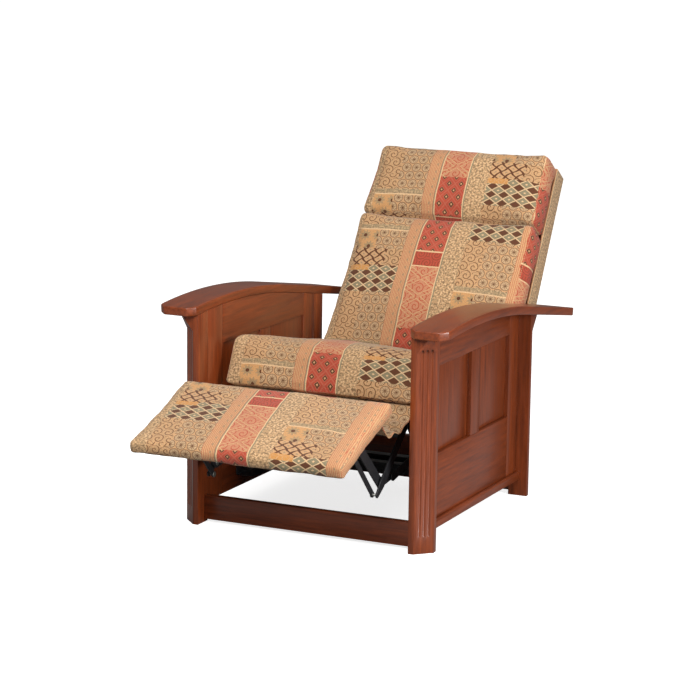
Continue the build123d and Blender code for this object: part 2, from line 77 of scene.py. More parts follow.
class ReclinerSizes(bpy.types.PropertyGroup):
    """Lengths that shape the visible pieces"""


SIZES = (
    ("post_ease", "Post Edge Radius", "Rounding worn into the posts and rails", 0.0016, 0.0002),
    ("arm_ease", "Arm Edge Radius", "Rounding along the edges of the bow arms", 0.003, 0.0002),
    ("steel_ease", "Steel Edge Radius", "Break on the edges of the stamped links and plates", 0.0005, 0.0001),
    ("cushion_swell", "Cushion Swell", "Furthest that a cover may puff out from its cut shape", 0.006, 0.0),
    ("shell_ease", "Outside Back Edge Radius", "Rounding of the cloth over the shell's edges", 0.0035, 0.0005),
    ("cover_rumple", "Cover Rumple", "Height of the soft waves in the cushion covers", 0.0028, 0.0),
    ("seat_voxel", "Cover Mesh Size", "Spacing of the cloth mesh on the large cushions", 0.007, 0.004),
    ("footrest_voxel", "Footrest Mesh Size", "Spacing of the cloth mesh on the thin footrest pad", 0.005, 0.003),
    ("apron_half_width", "Apron Half Width", "Half the width of the cloth slung behind the footrest", 0.284, 0.1),
    ("stitch_pitch", "Stitch Pitch", "Distance from one seam stitch to the next", 0.0065, 0.002),
    ("stitch_length", "Stitch Length", "Length of thread that shows in each stitch", 0.0045, 0.001),
    ("thread_radius", "Thread Radius", "Radius of the seam thread", 0.0007, 0.0002),
    ("spring_wire", "Spring Wire Radius", "Radius of the sinuous spring wire", 0.002, 0.0005),
    ("spring_swing", "Spring Swing", "How far each spring's loops reach to either side", 0.022, 0.005),
    ("spring_lead", "Spring Lead", "Straight wire at both ends of each spring", 0.014, 0.002),
    ("arm_width", "Arm Width", "Width of the flat bow arms", 0.115, 0.05),
    ("arm_thickness", "Arm Thickness", "Thickness of the bow arms", 0.024, 0.01),
    ("arm_clip", "Arm Corner Clip", "How far the front corners of the arms are cut back", 0.022, 0.0),
    ("bow_radius", "Bow Radius", "Radius of the arc along the top of each arm", 2.2, 0.5),
    ("bow_crest", "Bow Crest", "Distance from an arm's front end back to its highest place", 0.23, 0.1),
    ("bow_end", "Bow End", "Distance from an arm's front end back to the end of its arc", 0.59, 0.3),
    ("crest_height", "Crest Height", "Height of an arm's highest place over the floor", 0.632, 0.4),
)
for key, label, note, value, least in SIZES:
    ReclinerSizes.__annotations__[key] = bpy.props.FloatProperty(
        name=label, description=note, default=value, min=least, unit="LENGTH", subtype="DISTANCE")


class ReclinerColours(bpy.types.PropertyGroup):
    """Stains, paints and yarns"""


COLOURS = (
    ("cherry_light", "Cherry Stain, Light Grain", "Early wood under the stain", "823a16"),
    ("cherry_dark", "Cherry Stain, Dark Grain", "Late wood under the stain", "4e1f0a"),
    ("tan_yarn", "Tan Yarn", "Ground of the patchwork cloth", "bd9266"),
    ("red_yarn", "Red Yarn", "Saturated red of the diamond panels", "a8432d"),
    ("rose_yarn", "Rose Yarn", "Softer red under the leaf scrolls", "b3694f"),
    ("brown_yarn", "Brown Yarn", "Trellis and large diamonds", "5a3219"),
    ("sage_yarn", "Sage Yarn", "Grey-green bands and small diamonds", "81765a"),
    ("cream_yarn", "Cream Yarn", "Outlines and lattice lines", "d0ab80"),
    ("orange_yarn", "Orange Yarn", "Orange-tan patches", "bd8548"),
    ("hardwood_light", "Raw Hardwood, Light Grain", "Unstained rails inside the cushions", "c7a677"),
    ("hardwood_dark", "Raw Hardwood, Dark Grain", "Late wood of the unstained rails", "a07a4e"),
    ("steel_paint", "Black Paint", "Paint on the mechanism", "141416"),
)
for key, label, note, code in COLOURS:
    ReclinerColours.__annotations__[key] = bpy.props.StringProperty(
        name=label, description=note + ", as an sRGB hex code", default=code)


def linear(code):
    """An sRGB hex code as linear RGBA."""
    parts = [int(code[i:i + 2], 16) / 255 for i in (0, 2, 4)]
    return [p / 12.92 if p <= 0.04045 else ((p + 0.055) / 1.055) ** 2.4 for p in parts] + [1.0]


def per_metre(millimetres):
    """How often a pattern of this size comes in a metre, which is its scale."""
    return 1000.0 / millimetres


def add_node(tree, kind, links=(), **settings):
    """Adds a node, sets its settings and fills its inputs with values or links."""
    node = tree.nodes.new(kind)
    for name, value in settings.items():
        setattr(node, name, value)
    for key, value in dict(links).items():
        if isinstance(value, bpy.types.NodeSocket):
            tree.links.new(value, node.inputs[key])
        else:
            node.inputs[key].default_value = value
    return node


def work_out(tree, known, steps):
    """Turns rows of (name, operation, terms) into Math nodes, and rows of
    (name, "LAY", ground, where, colour) into one cloth laid over another. A last
    number in such a row says how much of the ground it hides."""
    for name, operation, *terms in steps:
        terms = [known.get(term, term) if isinstance(term, str) else term for term in terms]
        if operation == "LAY":
            ground, where, colour, *share = terms
            if share:
                where = add_node(tree, "ShaderNodeMath", {0: where, 1: share[0]}, operation="MULTIPLY").outputs[0]
            node = add_node(tree, "ShaderNodeMix", {6: ground, 0: where, 7: colour}, data_type="RGBA")
            known[name] = node.outputs[2]
        else:
            node = add_node(tree, "ShaderNodeMath", enumerate(terms), operation=operation)
            known[name] = node.outputs[0]
    return known


def new_group(name, inputs, outputs):
    """An empty shader group with named number inputs and outputs."""
    group = bpy.data.node_groups.new(name, "ShaderNodeTree")
    for label in inputs:
        group.interface.new_socket(label, in_out="INPUT", socket_type="NodeSocketFloat")
    for label in outputs:
        group.interface.new_socket(label, in_out="OUTPUT", socket_type="NodeSocketFloat")
    source = group.nodes.new("NodeGroupInput")
    return group, {label: source.outputs[label] for label in inputs}


def close_group(group, known, outputs):
    """Sends the named results to a group's outputs."""
    add_node(group, "NodeGroupOutput", {label: known[key] for label, key in outputs.items()})


def diamond_cells():
    """Splits the cloth into a diagonal lattice: how far a point is towards its
    diamond's edge (0 centre, 1 edge), and whether the diamond is odd or even."""
    group, known = new_group("diamond lattice", ("Across", "Down", "Width", "Height"), ("Edge", "Odd"))
    work_out(group, known, (
        ("x", "DIVIDE", "Across", "Width"), ("y", "DIVIDE", "Down", "Height"),
        ("p", "ADD", "x", "y"), ("r", "SUBTRACT", "x", "y"),
        ("p cell", "FLOOR", "p"), ("r cell", "FLOOR", "r"),
        ("p in", "FRACT", "p"), ("r in", "FRACT", "r"),
        ("p off", "SUBTRACT", "p in", 0.5), ("r off", "SUBTRACT", "r in", 0.5),
        ("p far", "ABSOLUTE", "p off"), ("r far", "ABSOLUTE", "r off"),
        ("far", "MAXIMUM", "p far", "r far"), ("edge", "MULTIPLY", "far", 2.0),
        ("cells", "ADD", "p cell", "r cell"), ("odd", "FLOORED_MODULO", "cells", 2.0),
    ))
    close_group(group, known, {"Edge": "edge", "Odd": "odd"})
    return group


def round_cells():
    """Staggered rows of round motifs: distance and angle from the nearest centre."""
    group, known = new_group("staggered rounds", ("Across", "Down", "Width", "Height"), ("Radius", "Angle"))
    work_out(group, known, (
        ("x", "DIVIDE", "Across", "Width"), ("y", "DIVIDE", "Down", "Height"),
        ("x1", "FRACT", "x"), ("y1", "FRACT", "y"),
        ("x1c", "SUBTRACT", "x1", 0.5), ("y1c", "SUBTRACT", "y1", 0.5),
        ("xs", "ADD", "x", 0.5), ("ys", "ADD", "y", 0.5),
        ("x2", "FRACT", "xs"), ("y2", "FRACT", "ys"),
        ("x2c", "SUBTRACT", "x2", 0.5), ("y2c", "SUBTRACT", "y2", 0.5),
        ("a1", "MULTIPLY", "x1c", "Width"), ("b1", "MULTIPLY", "y1c", "Height"),
        ("a2", "MULTIPLY", "x2c", "Width"), ("b2", "MULTIPLY", "y2c", "Height"),
        ("aa1", "MULTIPLY", "a1", "a1"), ("d1", "MULTIPLY_ADD", "b1", "b1", "aa1"),
        ("aa2", "MULTIPLY", "a2", "a2"), ("d2", "MULTIPLY_ADD", "b2", "b2", "aa2"),
        ("d", "MINIMUM", "d1", "d2"), ("radius", "SQRT", "d"),
        ("second", "LESS_THAN", "d2", "d1"),
        ("a12", "SUBTRACT", "a2", "a1"), ("b12", "SUBTRACT", "b2", "b1"),
        ("a", "MULTIPLY_ADD", "a12", "second", "a1"), ("b", "MULTIPLY_ADD", "b12", "second", "b1"),
        ("angle", "ARCTAN2", "b", "a"),
    ))
    close_group(group, known, {"Radius": "radius", "Angle": "angle"})
    return group


def new_finish(name):
    """A new material, its node tree and its surface shader."""
    material = bpy.data.materials.new(name)
    material.use_nodes = True
    return material.node_tree, material.node_tree.nodes["Principled BSDF"]


# The tapestry's repeat, and where its panels end across it, in millimetres
REPEAT_WIDE, REPEAT_LONG = 362.0, 390.0
RED_END, SPECKLE_END, BLOCK_END = 102.0, 160.0, 325.0

# Places on the repeat. Its lines waver by 2 mm, as cloth does when it is pulled over
# a pad, and the trellis sways by 3 mm either way, once every 30 mm down.
PLACES = (
    ("bend", "MULTIPLY_ADD", "waver", 4.0, -2.0),
    ("U", "MULTIPLY_ADD", "u", 1000.0, "bend"), ("V", "MULTIPLY_ADD", "v", 1000.0, "bend"),
    ("cell at", "DIVIDE", "U", REPEAT_WIDE), ("cell", "FLOOR", "cell at"),
    ("across", "FLOORED_MODULO", "U", REPEAT_WIDE), ("down", "FLOORED_MODULO", "V", REPEAT_LONG),
    ("drop", "MULTIPLY_ADD", "cell", 190.0, 240.0), ("row at", "SUBTRACT", "V", "drop"),
    ("row", "FLOORED_MODULO", "row at", REPEAT_LONG), ("block at", "SUBTRACT", "across", SPECKLE_END),
    ("swing at", "MULTIPLY", "row", math.tau / 30.0), ("swing", "SINE", "swing at"),
    ("sway at", "MULTIPLY_ADD", "swing", 3.0, "block at"),
)
# Each motif's cells: their kind, the places that they follow, and their width and
# height in millimetres
CELLS = (
    ("lattice", "diamonds", "block at", "row", 42.0, 28.0),
    ("jewel", "diamonds", "across", "down", 40.0, 44.0),
    ("bead", "diamonds", "across", "row", 22.0, 26.0),
    ("arch", "diamonds", "across", "down", RED_END, 64.0),
    ("ogee", "diamonds", "sway at", "row", 36.0, 30.0),
    ("medallion", "rounds", "block at", "row", 34.0, 57.0),
    ("palmette", "rounds", "block at", "row", 44.0, 78.0),
    ("scroll", "rounds", "across", "down", 52.0, 58.0),
    ("leaf", "rounds", "across", "down", 34.0, 58.0),
    ("frond", "rounds", "across", "down", 26.0, 37.0),
)
# Brown diamonds between cream lines, by turns with sage ones that have a cream heart
DIAMONDS = (
    ("large", "LESS_THAN", "lattice edge", 0.80), ("even", "SUBTRACT", 1.0, "lattice odd"),
    ("brown diamonds", "MULTIPLY", "large", "even"), ("lines", "GREATER_THAN", "lattice edge", 0.88),
    ("heart", "LESS_THAN", "lattice edge", 0.22), ("hearts", "MULTIPLY", "heart", "lattice odd"),
    ("lined", "LAY", "sage_yarn", "lines", "cream_yarn"),
    ("two-toned", "LAY", "lined", "brown diamonds", "brown_yarn"),
    ("diamonds", "LAY", "two-toned", "hearts", "cream_yarn"),
)
# Medallions on tan: a cream ring with a dark rim, then rays, petals and a dark eye
MEDALLIONS = (
    ("petal turn", "MULTIPLY", "medallion angle", 8.0), ("petal", "COSINE", "petal turn"),
    ("petal reach", "MULTIPLY_ADD", "petal", 1.8, 7.6),
    ("in ring", "LESS_THAN", "medallion radius", 15.6), ("in bed", "LESS_THAN", "medallion radius", 13.2),
    ("in petal", "LESS_THAN", "medallion radius", "petal reach"),
    ("in eye", "LESS_THAN", "medallion radius", 2.6),
    ("ray turn", "MULTIPLY", "medallion angle", 16.0), ("ray", "COSINE", "ray turn"),
    ("in ray", "GREATER_THAN", "ray", 0.45), ("past petal", "GREATER_THAN", "medallion radius", 8.5),
    ("ray at", "MULTIPLY", "past petal", "in ray"), ("rays", "MULTIPLY", "ray at", "in bed"),
    ("past bed", "GREATER_THAN", "medallion radius", 13.2), ("rim", "MULTIPLY", "past bed", "in ring"),
    ("ringed", "LAY", "tan_yarn", "in ring", "cream_yarn"),
    ("bedded", "LAY", "ringed", "in bed", "sage_yarn", 0.24),
    ("petalled", "LAY", "bedded", "in petal", "brown_yarn", 0.58),
    ("eyed", "LAY", "petalled", "in eye", "brown_yarn", 0.9),
    ("rayed", "LAY", "eyed", "rays", "brown_yarn", 0.7),
    ("medallions", "LAY", "rayed", "rim", "brown_yarn", 0.8),
)
# Curled vines and finer fronds, each a spiral round its cell's middle
VINES = (
    ("curl turn", "MULTIPLY", "leaf angle", 1.0 / math.tau),
    ("curl", "MULTIPLY_ADD", "leaf radius", 0.085, "curl turn"),
    ("curl in", "FRACT", "curl"), ("vine", "LESS_THAN", "curl in", 0.26),
    ("frond turn", "MULTIPLY", "frond angle", -2.0 / math.tau),
    ("coiled", "MULTIPLY_ADD", "frond radius", 0.14, "frond turn"),
    ("frond in", "FRACT", "coiled"), ("frond line", "LESS_THAN", "frond in", 0.22),
    ("fronds", "LAY", "tan_yarn", "frond line", "sage_yarn", 0.55),
    ("scrolls", "LAY", "fronds", "vine", "brown_yarn", 0.8),
    ("orange vines", "LAY", "orange_yarn", "vine", "tan_yarn", 0.8),
)
# Palmettes on orange-tan: a fan of nine lobes round a brown seed
PALMETTES = (
    ("fan turn", "MULTIPLY", "palmette angle", 9.0), ("fan", "COSINE", "fan turn"),
    ("fan reach", "MULTIPLY_ADD", "fan", 4.0, 15.0), ("in fan", "LESS_THAN", "palmette radius", "fan reach"),
    ("in seed", "LESS_THAN", "palmette radius", 6.0), ("palm ground", "LAY", "tan_yarn", 0.45, "orange_yarn"),
    ("fans", "LAY", "palm ground", "in fan", "sage_yarn", 0.62),
    ("palmettes", "LAY", "fans", "in seed", "brown_yarn"),
)
# Swaying trellis with a sage bud in each opening
TRELLIS = (
    ("trellis line", "GREATER_THAN", "ogee edge", 0.78), ("bud", "LESS_THAN", "ogee edge", 0.24),
    ("bare trellis", "LAY", "tan_yarn", "trellis line", "brown_yarn"),
    ("trellis", "LAY", "bare trellis", "bud", "sage_yarn", 0.7),
)
# Speckled strip, and the greyer band that crosses the tan block
SPECKLES = (
    ("sage fleck", "GREATER_THAN", "flecks", 0.52), ("dark fleck", "GREATER_THAN", "flecks", 0.60),
    ("pale fleck", "LESS_THAN", "flecks", 0.41), ("dull tan", "LAY", "tan_yarn", 0.2, "sage_yarn"),
    ("sage flecked", "LAY", "dull tan", "sage fleck", "sage_yarn", 0.5),
    ("dark flecked", "LAY", "sage flecked", "dark fleck", "brown_yarn", 0.5),
    ("speckles", "LAY", "dark flecked", "pale fleck", "cream_yarn"),
    ("band", "LAY", "speckles", 0.45, "sage_yarn"),
)
# The tan block, from its last row up to its first
TAN_BLOCK = (
    ("left side", "LESS_THAN", "block at", 66.0), ("row 6", "LAY", "medallions", "left side", "scrolls"),
    ("to lattice", "LESS_THAN", "row", 232.0), ("row 5", "LAY", "row 6", "to lattice", "diamonds"),
    ("to orange", "LESS_THAN", "row", 160.0), ("orange at", "MULTIPLY", "to orange", "left side"),
    ("row 4", "LAY", "row 5", "orange at", "orange vines"),
    ("to ogee", "LESS_THAN", "row", 142.0), ("ogee side", "LESS_THAN", "block at", 112.0),
    ("ogee at", "MULTIPLY", "to ogee", "ogee side"), ("row 3 ground", "LAY", "row 4", "to ogee", "scrolls"),
    ("row 3", "LAY", "row 3 ground", "ogee at", "trellis"),
    ("to palm", "LESS_THAN", "row", 84.0), ("palm at", "MULTIPLY", "to palm", "left side"),
    ("row 2 ground", "LAY", "row 3", "to palm", "medallions"),
    ("row 2", "LAY", "row 2 ground", "palm at", "palmettes"),
    ("to line", "LESS_THAN", "row", 19.0), ("row 1 ground", "LAY", "row 2", "to line", "cream_yarn"),
    ("to band", "LESS_THAN", "row", 15.0), ("block", "LAY", "row 1 ground", "to band", "band"),
)
# Pink stripes with a column of small sage diamonds
STRIPES = (
    ("stripe at", "FLOORED_MODULO", "across", 5.0), ("stripe", "LESS_THAN", "stripe at", 1.6),
    ("in bead", "LESS_THAN", "bead edge", 0.62), ("odd bead", "MULTIPLY", "in bead", "bead odd"),
    ("past", "GREATER_THAN", "across", 337.0), ("short", "LESS_THAN", "across", 351.0),
    ("between", "MULTIPLY", "past", "short"), ("beads", "MULTIPLY", "odd bead", "between"),
    ("pink stripes", "LAY", "tan_yarn", "stripe", "red_yarn", 0.75),
    ("stripes", "LAY", "pink stripes", "beads", "sage_yarn", 0.7),
)
# Red column, from its last rows up to its first: rose vines under arches, a row of
# coils between cream lines, and outlined diamonds. Its edges have cream and sage trim.
RED_COLUMN = (
    ("ring", "LESS_THAN", "jewel edge", 0.52), ("past rim", "GREATER_THAN", "jewel edge", 0.42),
    ("past heart", "GREATER_THAN", "jewel edge", 0.17), ("net", "GREATER_THAN", "jewel edge", 0.88),
    ("ring rim", "MULTIPLY", "ring", "past rim"), ("ring bed", "MULTIPLY", "ring", "past heart"),
    ("tan rings", "LAY", "red_yarn", "ring", "tan_yarn"),
    ("brown rings", "LAY", "tan rings", "ring bed", "brown_yarn"),
    ("rimmed rings", "LAY", "brown rings", "ring rim", "rose_yarn", 0.8),
    ("jewels", "LAY", "rimmed rings", "net", "rose_yarn", 0.45),
    ("rose bed", "LAY", "rose_yarn", 0.4, "tan_yarn"), ("rose vines", "LAY", "rose bed", "vine", "red_yarn", 0.9),
    ("arch near", "SUBTRACT", "arch edge", 0.8), ("arch far", "ABSOLUTE", "arch near"),
    ("arch line", "LESS_THAN", "arch far", 0.055), ("arches", "LAY", "rose vines", "arch line", "tan_yarn"),
    ("coil turn", "MULTIPLY", "scroll angle", 1.0 / math.tau),
    ("coil", "MULTIPLY_ADD", "scroll radius", 0.11, "coil turn"), ("coil in", "FRACT", "coil"),
    ("coil line", "LESS_THAN", "coil in", 0.3), ("coils", "LAY", "red_yarn", "coil line", "brown_yarn", 0.6),
    ("to low line", "LESS_THAN", "down", 188.0), ("low line", "LAY", "arches", "to low line", "cream_yarn"),
    ("to coils", "LESS_THAN", "down", 184.0), ("coil row", "LAY", "low line", "to coils", "coils"),
    ("to high line", "LESS_THAN", "down", 137.0), ("high line", "LAY", "coil row", "to high line", "cream_yarn"),
    ("to jewels", "LESS_THAN", "down", 132.0), ("jewel rows", "LAY", "high line", "to jewels", "jewels"),
    ("from middle", "SUBTRACT", "across", RED_END / 2), ("aside", "ABSOLUTE", "from middle"),
    ("trim", "GREATER_THAN", "aside", 44.0), ("cream trim", "LAY", "jewel rows", "trim", "cream_yarn"),
    ("outer trim", "GREATER_THAN", "aside", 47.5), ("column", "LAY", "cream trim", "outer trim", "sage_yarn"),
)
# The panels side by side
PANELS = (
    ("is block", "LESS_THAN", "across", BLOCK_END), ("from block", "LAY", "stripes", "is block", "block"),
    ("is speck", "LESS_THAN", "across", SPECKLE_END),
    ("from speckles", "LAY", "from block", "is speck", "speckles"),
    ("is red", "LESS_THAN", "across", RED_END), ("cloth", "LAY", "from speckles", "is red", "column"),
)


def patchwork_cloth(colours):
    """Cotton tapestry, woven in panels side by side: a red column, a speckled
    strip, a wide tan block and pink stripes. The tan blocks drop by half a repeat
    from one to the next. Dull, with a dry woven grain and a little sheen."""
    tree, shader = new_finish("patchwork tapestry")
    uv = add_node(tree, "ShaderNodeUVMap", uv_map="cloth")
    split = add_node(tree, "ShaderNodeSeparateXYZ", {0: uv.outputs[0]})
    ripple = add_node(tree, "ShaderNodeTexNoise", {0: uv.outputs[0], "Scale": per_metre(71.43), "Detail": 1.0})
    flecks = add_node(tree, "ShaderNodeTexNoise", {0: uv.outputs[0], "Scale": per_metre(6.0606), "Detail": 1.0})
    known = {key: linear(getattr(colours, key)) for key, *_ in COLOURS}
    known.update(u=split.outputs[0], v=split.outputs[1], waver=ripple.outputs[0], flecks=flecks.outputs[0])
    work_out(tree, known, PLACES)
    kinds = {"diamonds": diamond_cells(), "rounds": round_cells()}
    for motif, kind, across, down, width, height in CELLS:
        cells = add_node(tree, "ShaderNodeGroup", {0: known[across], 1: known[down], 2: width, 3: height},
                         node_tree=kinds[kind])
        for output in cells.outputs:
            known[f"{motif} {output.name.lower()}"] = output
    for rows in (DIAMONDS, MEDALLIONS, VINES, PALMETTES, TRELLIS, SPECKLES, TAN_BLOCK, STRIPES, RED_COLUMN, PANELS):
        work_out(tree, known, rows)
    # Weave: crossed yarns, drawn coarser than real yarn so that they show. The yarns' uneven dye, with painted
    # sheen on the brightest threads, breaks the panels up, and a slow fade runs over the whole cloth.
    yarn_spacing = 1.2
    yarn = add_node(tree, "ShaderNodeTexNoise", {0: uv.outputs[0], "Scale": per_metre(2.38095), "Detail": 2.0})
    fade = add_node(tree, "ShaderNodeTexNoise", {0: uv.outputs[0], "Scale": per_metre(111.11), "Detail": 2.0})
    known.update(yarn=yarn.outputs[0], fade=fade.outputs[0])
    work_out(tree, known, (
        ("warp at", "MULTIPLY", "u", math.tau * per_metre(yarn_spacing)), ("warp", "SINE", "warp at"),
        ("weft at", "MULTIPLY", "v", math.tau * per_metre(yarn_spacing)), ("weft", "SINE", "weft at"),
        # The fleck row lightens and darkens the cloth by the yarns' uneven dye and by painted sheen on the threads
        ("crossing", "MULTIPLY", "warp", "weft"), ("fleck", "MULTIPLY_ADD", "yarn", 0.95, 0.31),
        ("shade", "MULTIPLY_ADD", "fade", 0.16, 0.92), ("value", "MULTIPLY", "fleck", "shade"),
    ))
    dyed = add_node(tree, "ShaderNodeHueSaturation", {"Color": known["cloth"], "Value": known["value"]})
    tree.links.new(dyed.outputs[0], shader.inputs["Base Color"])
    bump = add_node(tree, "ShaderNodeBump", {"Height": known["crossing"], "Strength": 0.35, "Distance": 0.0004})
    tree.links.new(bump.outputs[0], shader.inputs["Normal"])
    shader.inputs["Roughness"].default_value = 0.88
    shader.inputs["Sheen Weight"].default_value = 0.12
    shader.inputs["Specular IOR Level"].default_value = 0.3


def grained_wood(name, pale, deep, along, rough, coat):
    """Planed hardwood between two tones, its grain drawn out along one axis. The
    long streaks and short pores keep a wide panel from reading as one flat colour,
    and the stained frame has a thin coat of satin lacquer."""
    tree, shader = new_finish(name)
    # Streaks and pores are 20 times as long as they are wide. Lengths in millimetres.
    drawn_out, streak_length, pore_length = 20.0, 166.667, 21.739
    place = add_node(tree, "ShaderNodeTexCoord")
    stretch = [1.0 if axis == along else drawn_out for axis in range(3)]
    mapped = add_node(tree, "ShaderNodeMapping", {0: place.outputs["Object"], "Scale": stretch})
    grain = add_node(tree, "ShaderNodeTexNoise", {0: mapped.outputs[0], "Scale": per_metre(streak_length),
                                                  "Detail": 7.0, "Roughness": 0.7, "Distortion": 0.2})
    pores = add_node(tree, "ShaderNodeTexNoise", {0: mapped.outputs[0], "Scale": per_metre(pore_length),
                                                  "Detail": 2.0})
    ramp = add_node(tree, "ShaderNodeValToRGB", {0: grain.outputs[0]})
    ramp.color_ramp.elements[0].position = 0.28
    ramp.color_ramp.elements[0].color = linear(deep)
    ramp.color_ramp.elements[1].position = 0.72
    ramp.color_ramp.elements[1].color = linear(pale)
    known = {"pores": pores.outputs[0], "grain": grain.outputs[0]}
    work_out(tree, known, (
        ("pore", "MULTIPLY_ADD", "pores", 0.3, 0.85),
        ("gloss", "MULTIPLY_ADD", "grain", 0.16, rough),
    ))
    dyed = add_node(tree, "ShaderNodeHueSaturation", {"Color": ramp.outputs[0], "Value": known["pore"]})
    tree.links.new(dyed.outputs[0], shader.inputs["Base Color"])
    tree.links.new(known["gloss"], shader.inputs["Roughness"])
    bump = add_node(tree, "ShaderNodeBump", {"Height": known["pores"], "Strength": 0.12, "Distance": 0.0006})
    tree.links.new(bump.outputs[0], shader.inputs["Normal"])
    shader.inputs["Coat Weight"].default_value = coat
    shader.inputs["Coat Roughness"].default_value = 0.22


def painted_steel(colours):
    """Black enamel sprayed on stamped steel: nearly black and half dull, with a
    faint cloudiness as of dust that lets the bars' faces be told apart."""
    tree, shader = new_finish("painted steel")
    place = add_node(tree, "ShaderNodeTexCoord")
    cloud = add_node(tree, "ShaderNodeTexNoise", {0: place.outputs["Object"], "Scale": per_metre(16.667),
                                                  "Detail": 4.0})
    black = linear(colours.steel_paint)
    dust = add_node(tree, "ShaderNodeMix", {0: cloud.outputs[0], 6: black, 7: [c * 2.2 for c in black[:3]] + [1.0]},
                    data_type="RGBA")
    tree.links.new(dust.outputs[2], shader.inputs["Base Color"])
    known = work_out(tree, {"cloud": cloud.outputs[0]}, (("rough", "MULTIPLY_ADD", "cloud", 0.3, 0.3),))
    tree.links.new(known["rough"], shader.inputs["Roughness"])


def seam_thread(colours):
    """Twisted cotton thread between the tan and the sage yarn, matt, with the
    light and dark of its ply."""
    tree, shader = new_finish("seam thread")
    place = add_node(tree, "ShaderNodeTexCoord")
    ply = add_node(tree, "ShaderNodeTexNoise", {0: place.outputs["Object"], "Scale": per_metre(1.1111),
                                                "Detail": 1.0})
    tint = add_node(tree, "ShaderNodeMix", {0: ply.outputs[0], 6: linear(colours.tan_yarn),
                                            7: linear(colours.sage_yarn)}, data_type="RGBA")
    tree.links.new(tint.outputs[2], shader.inputs["Base Color"])
    shader.inputs["Roughness"].default_value = 0.8


def bare_metal(name, code, rough):
    """Drawn wire or zinc-plated steel: its fine uneven polish breaks up the highlights."""
    tree, shader = new_finish(name)
    place = add_node(tree, "ShaderNodeTexCoord")
    cloud = add_node(tree, "ShaderNodeTexNoise", {0: place.outputs["Object"], "Scale": per_metre(4.5455),
                                                  "Detail": 3.0})
    tone = linear(code)
    tint = add_node(tree, "ShaderNodeMix", {0: cloud.outputs[0], 6: [c * 0.7 for c in tone[:3]] + [1.0], 7: tone},
                    data_type="RGBA")
    tree.links.new(tint.outputs[2], shader.inputs["Base Color"])
    known = work_out(tree, {"cloud": cloud.outputs[0]}, (("rough", "MULTIPLY_ADD", "cloud", 0.2, rough),))
    tree.links.new(known["rough"], shader.inputs["Roughness"])
    shader.inputs["Metallic"].default_value = 1.0


def finishes():
    """The materials, made once."""
    if "cherry stain, upright" not in bpy.data.materials:
        colours = bpy.context.scene.recliner_colours
        for axis, run in enumerate(("across", "lengthwise", "upright")):
            grained_wood("cherry stain, " + run, colours.cherry_light, colours.cherry_dark, axis, 0.24, 0.35)
            grained_wood("raw hardwood, " + run, colours.hardwood_light, colours.hardwood_dark, axis, 0.6, 0.0)
        patchwork_cloth(colours)
        painted_steel(colours)
        bare_metal("drawn spring steel", "8a8a88", 0.34)
        bare_metal("zinc plate", "b9bab4", 0.28)
        seam_thread(colours)
    return bpy.data.materials


def new_piece(name, mesh, body, material):
    """Links a finished mesh as a piece that rides a CAD body."""
    piece = bpy.data.objects.new(name, mesh)
    bpy.context.scene.collection.objects.link(piece)
    mesh.materials.clear()
    mesh.materials.append(material)
    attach(piece, body)
    return piece


def merged_copy(node):
    """A CAD node's mesh with its split corners welded and its flats joined."""
    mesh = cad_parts[node].data.copy()
    draft = bmesh.new()
    draft.from_mesh(mesh)
    bmesh.ops.remove_doubles(draft, verts=draft.verts, dist=WELD)
    bmesh.ops.dissolve_limit(draft, angle_limit=math.radians(0.6), verts=draft.verts, edges=draft.edges)
    draft.to_mesh(mesh)
    draft.free()
    mesh.name = node
    return mesh


def baked(piece):
    """The piece's mesh with its modifiers worked in."""
    shown = piece.evaluated_get(bpy.context.evaluated_depsgraph_get())
    mesh = bpy.data.meshes.new_from_object(shown)
    piece.modifiers.clear()
    old = piece.data
    piece.data = mesh
    bpy.data.meshes.remove(old)
    return piece


def eased(node, body, material, ease, steps=2):
    """A CAD node again, with its sharp edges eased as a hand or a die leaves them."""
    piece = new_piece(node + "_eased", merged_copy(node), body, material)
    ease_edges(piece, ease, steps)
    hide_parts(node)
    return piece


def shade_smooth(mesh):
    """Shades every face of a mesh as part of a round surface."""
    mesh.polygons.foreach_set("use_smooth", [True] * len(mesh.polygons))


def ease_edges(piece, ease, steps):
    """Rounds a piece's sharp edges and shades its faces smooth between them."""
    bevel = piece.modifiers.new("ease", "BEVEL")
    bevel.width = ease
    bevel.segments = steps
    bevel.limit_method = "ANGLE"
    bevel.angle_limit = math.radians(32)
    bevel.use_clamp_overlap = True
    bevel.harden_normals = False
    baked(piece)
    shade_smooth(piece.data)
    piece.data.set_sharp_from_angle(angle=math.radians(28))


def local_axes(place):
    """A cushion's plane as a 4x4 matrix, from its origin and tilt."""
    origin, tilt = place
    return Matrix.Translation(origin) @ Matrix.Rotation(math.radians(tilt), 4, "X")


def into_plane(points, place):
    """Row-frame points in a cushion's own axes: across, along, out."""
    turn = np.array(local_axes(place).inverted())
    return points @ turn[:3, :3].T + turn[:3, 3]


def mesh_arrays(mesh):
    """Points, loop vertex indices and each loop's face normal, as arrays."""
    points = np.empty(len(mesh.vertices) * 3)
    mesh.vertices.foreach_get("co", points)
    corners = np.empty(len(mesh.loops), int)
    mesh.loops.foreach_get("vertex_index", corners)
    normals = np.empty(len(mesh.polygons) * 3)
    mesh.polygons.foreach_get("normal", normals)
    counts = np.empty(len(mesh.polygons), int)
    mesh.polygons.foreach_get("loop_total", counts)
    return points.reshape(-1, 3), corners, np.repeat(normals.reshape(-1, 3), counts, axis=0)


# How square a face stands to the cushion's own axes to count as its end or its side,
# and a place across the repeat that no cover reaches
END_ON, SIDE_ON = 0.6, 0.62
BEYOND = 9.0


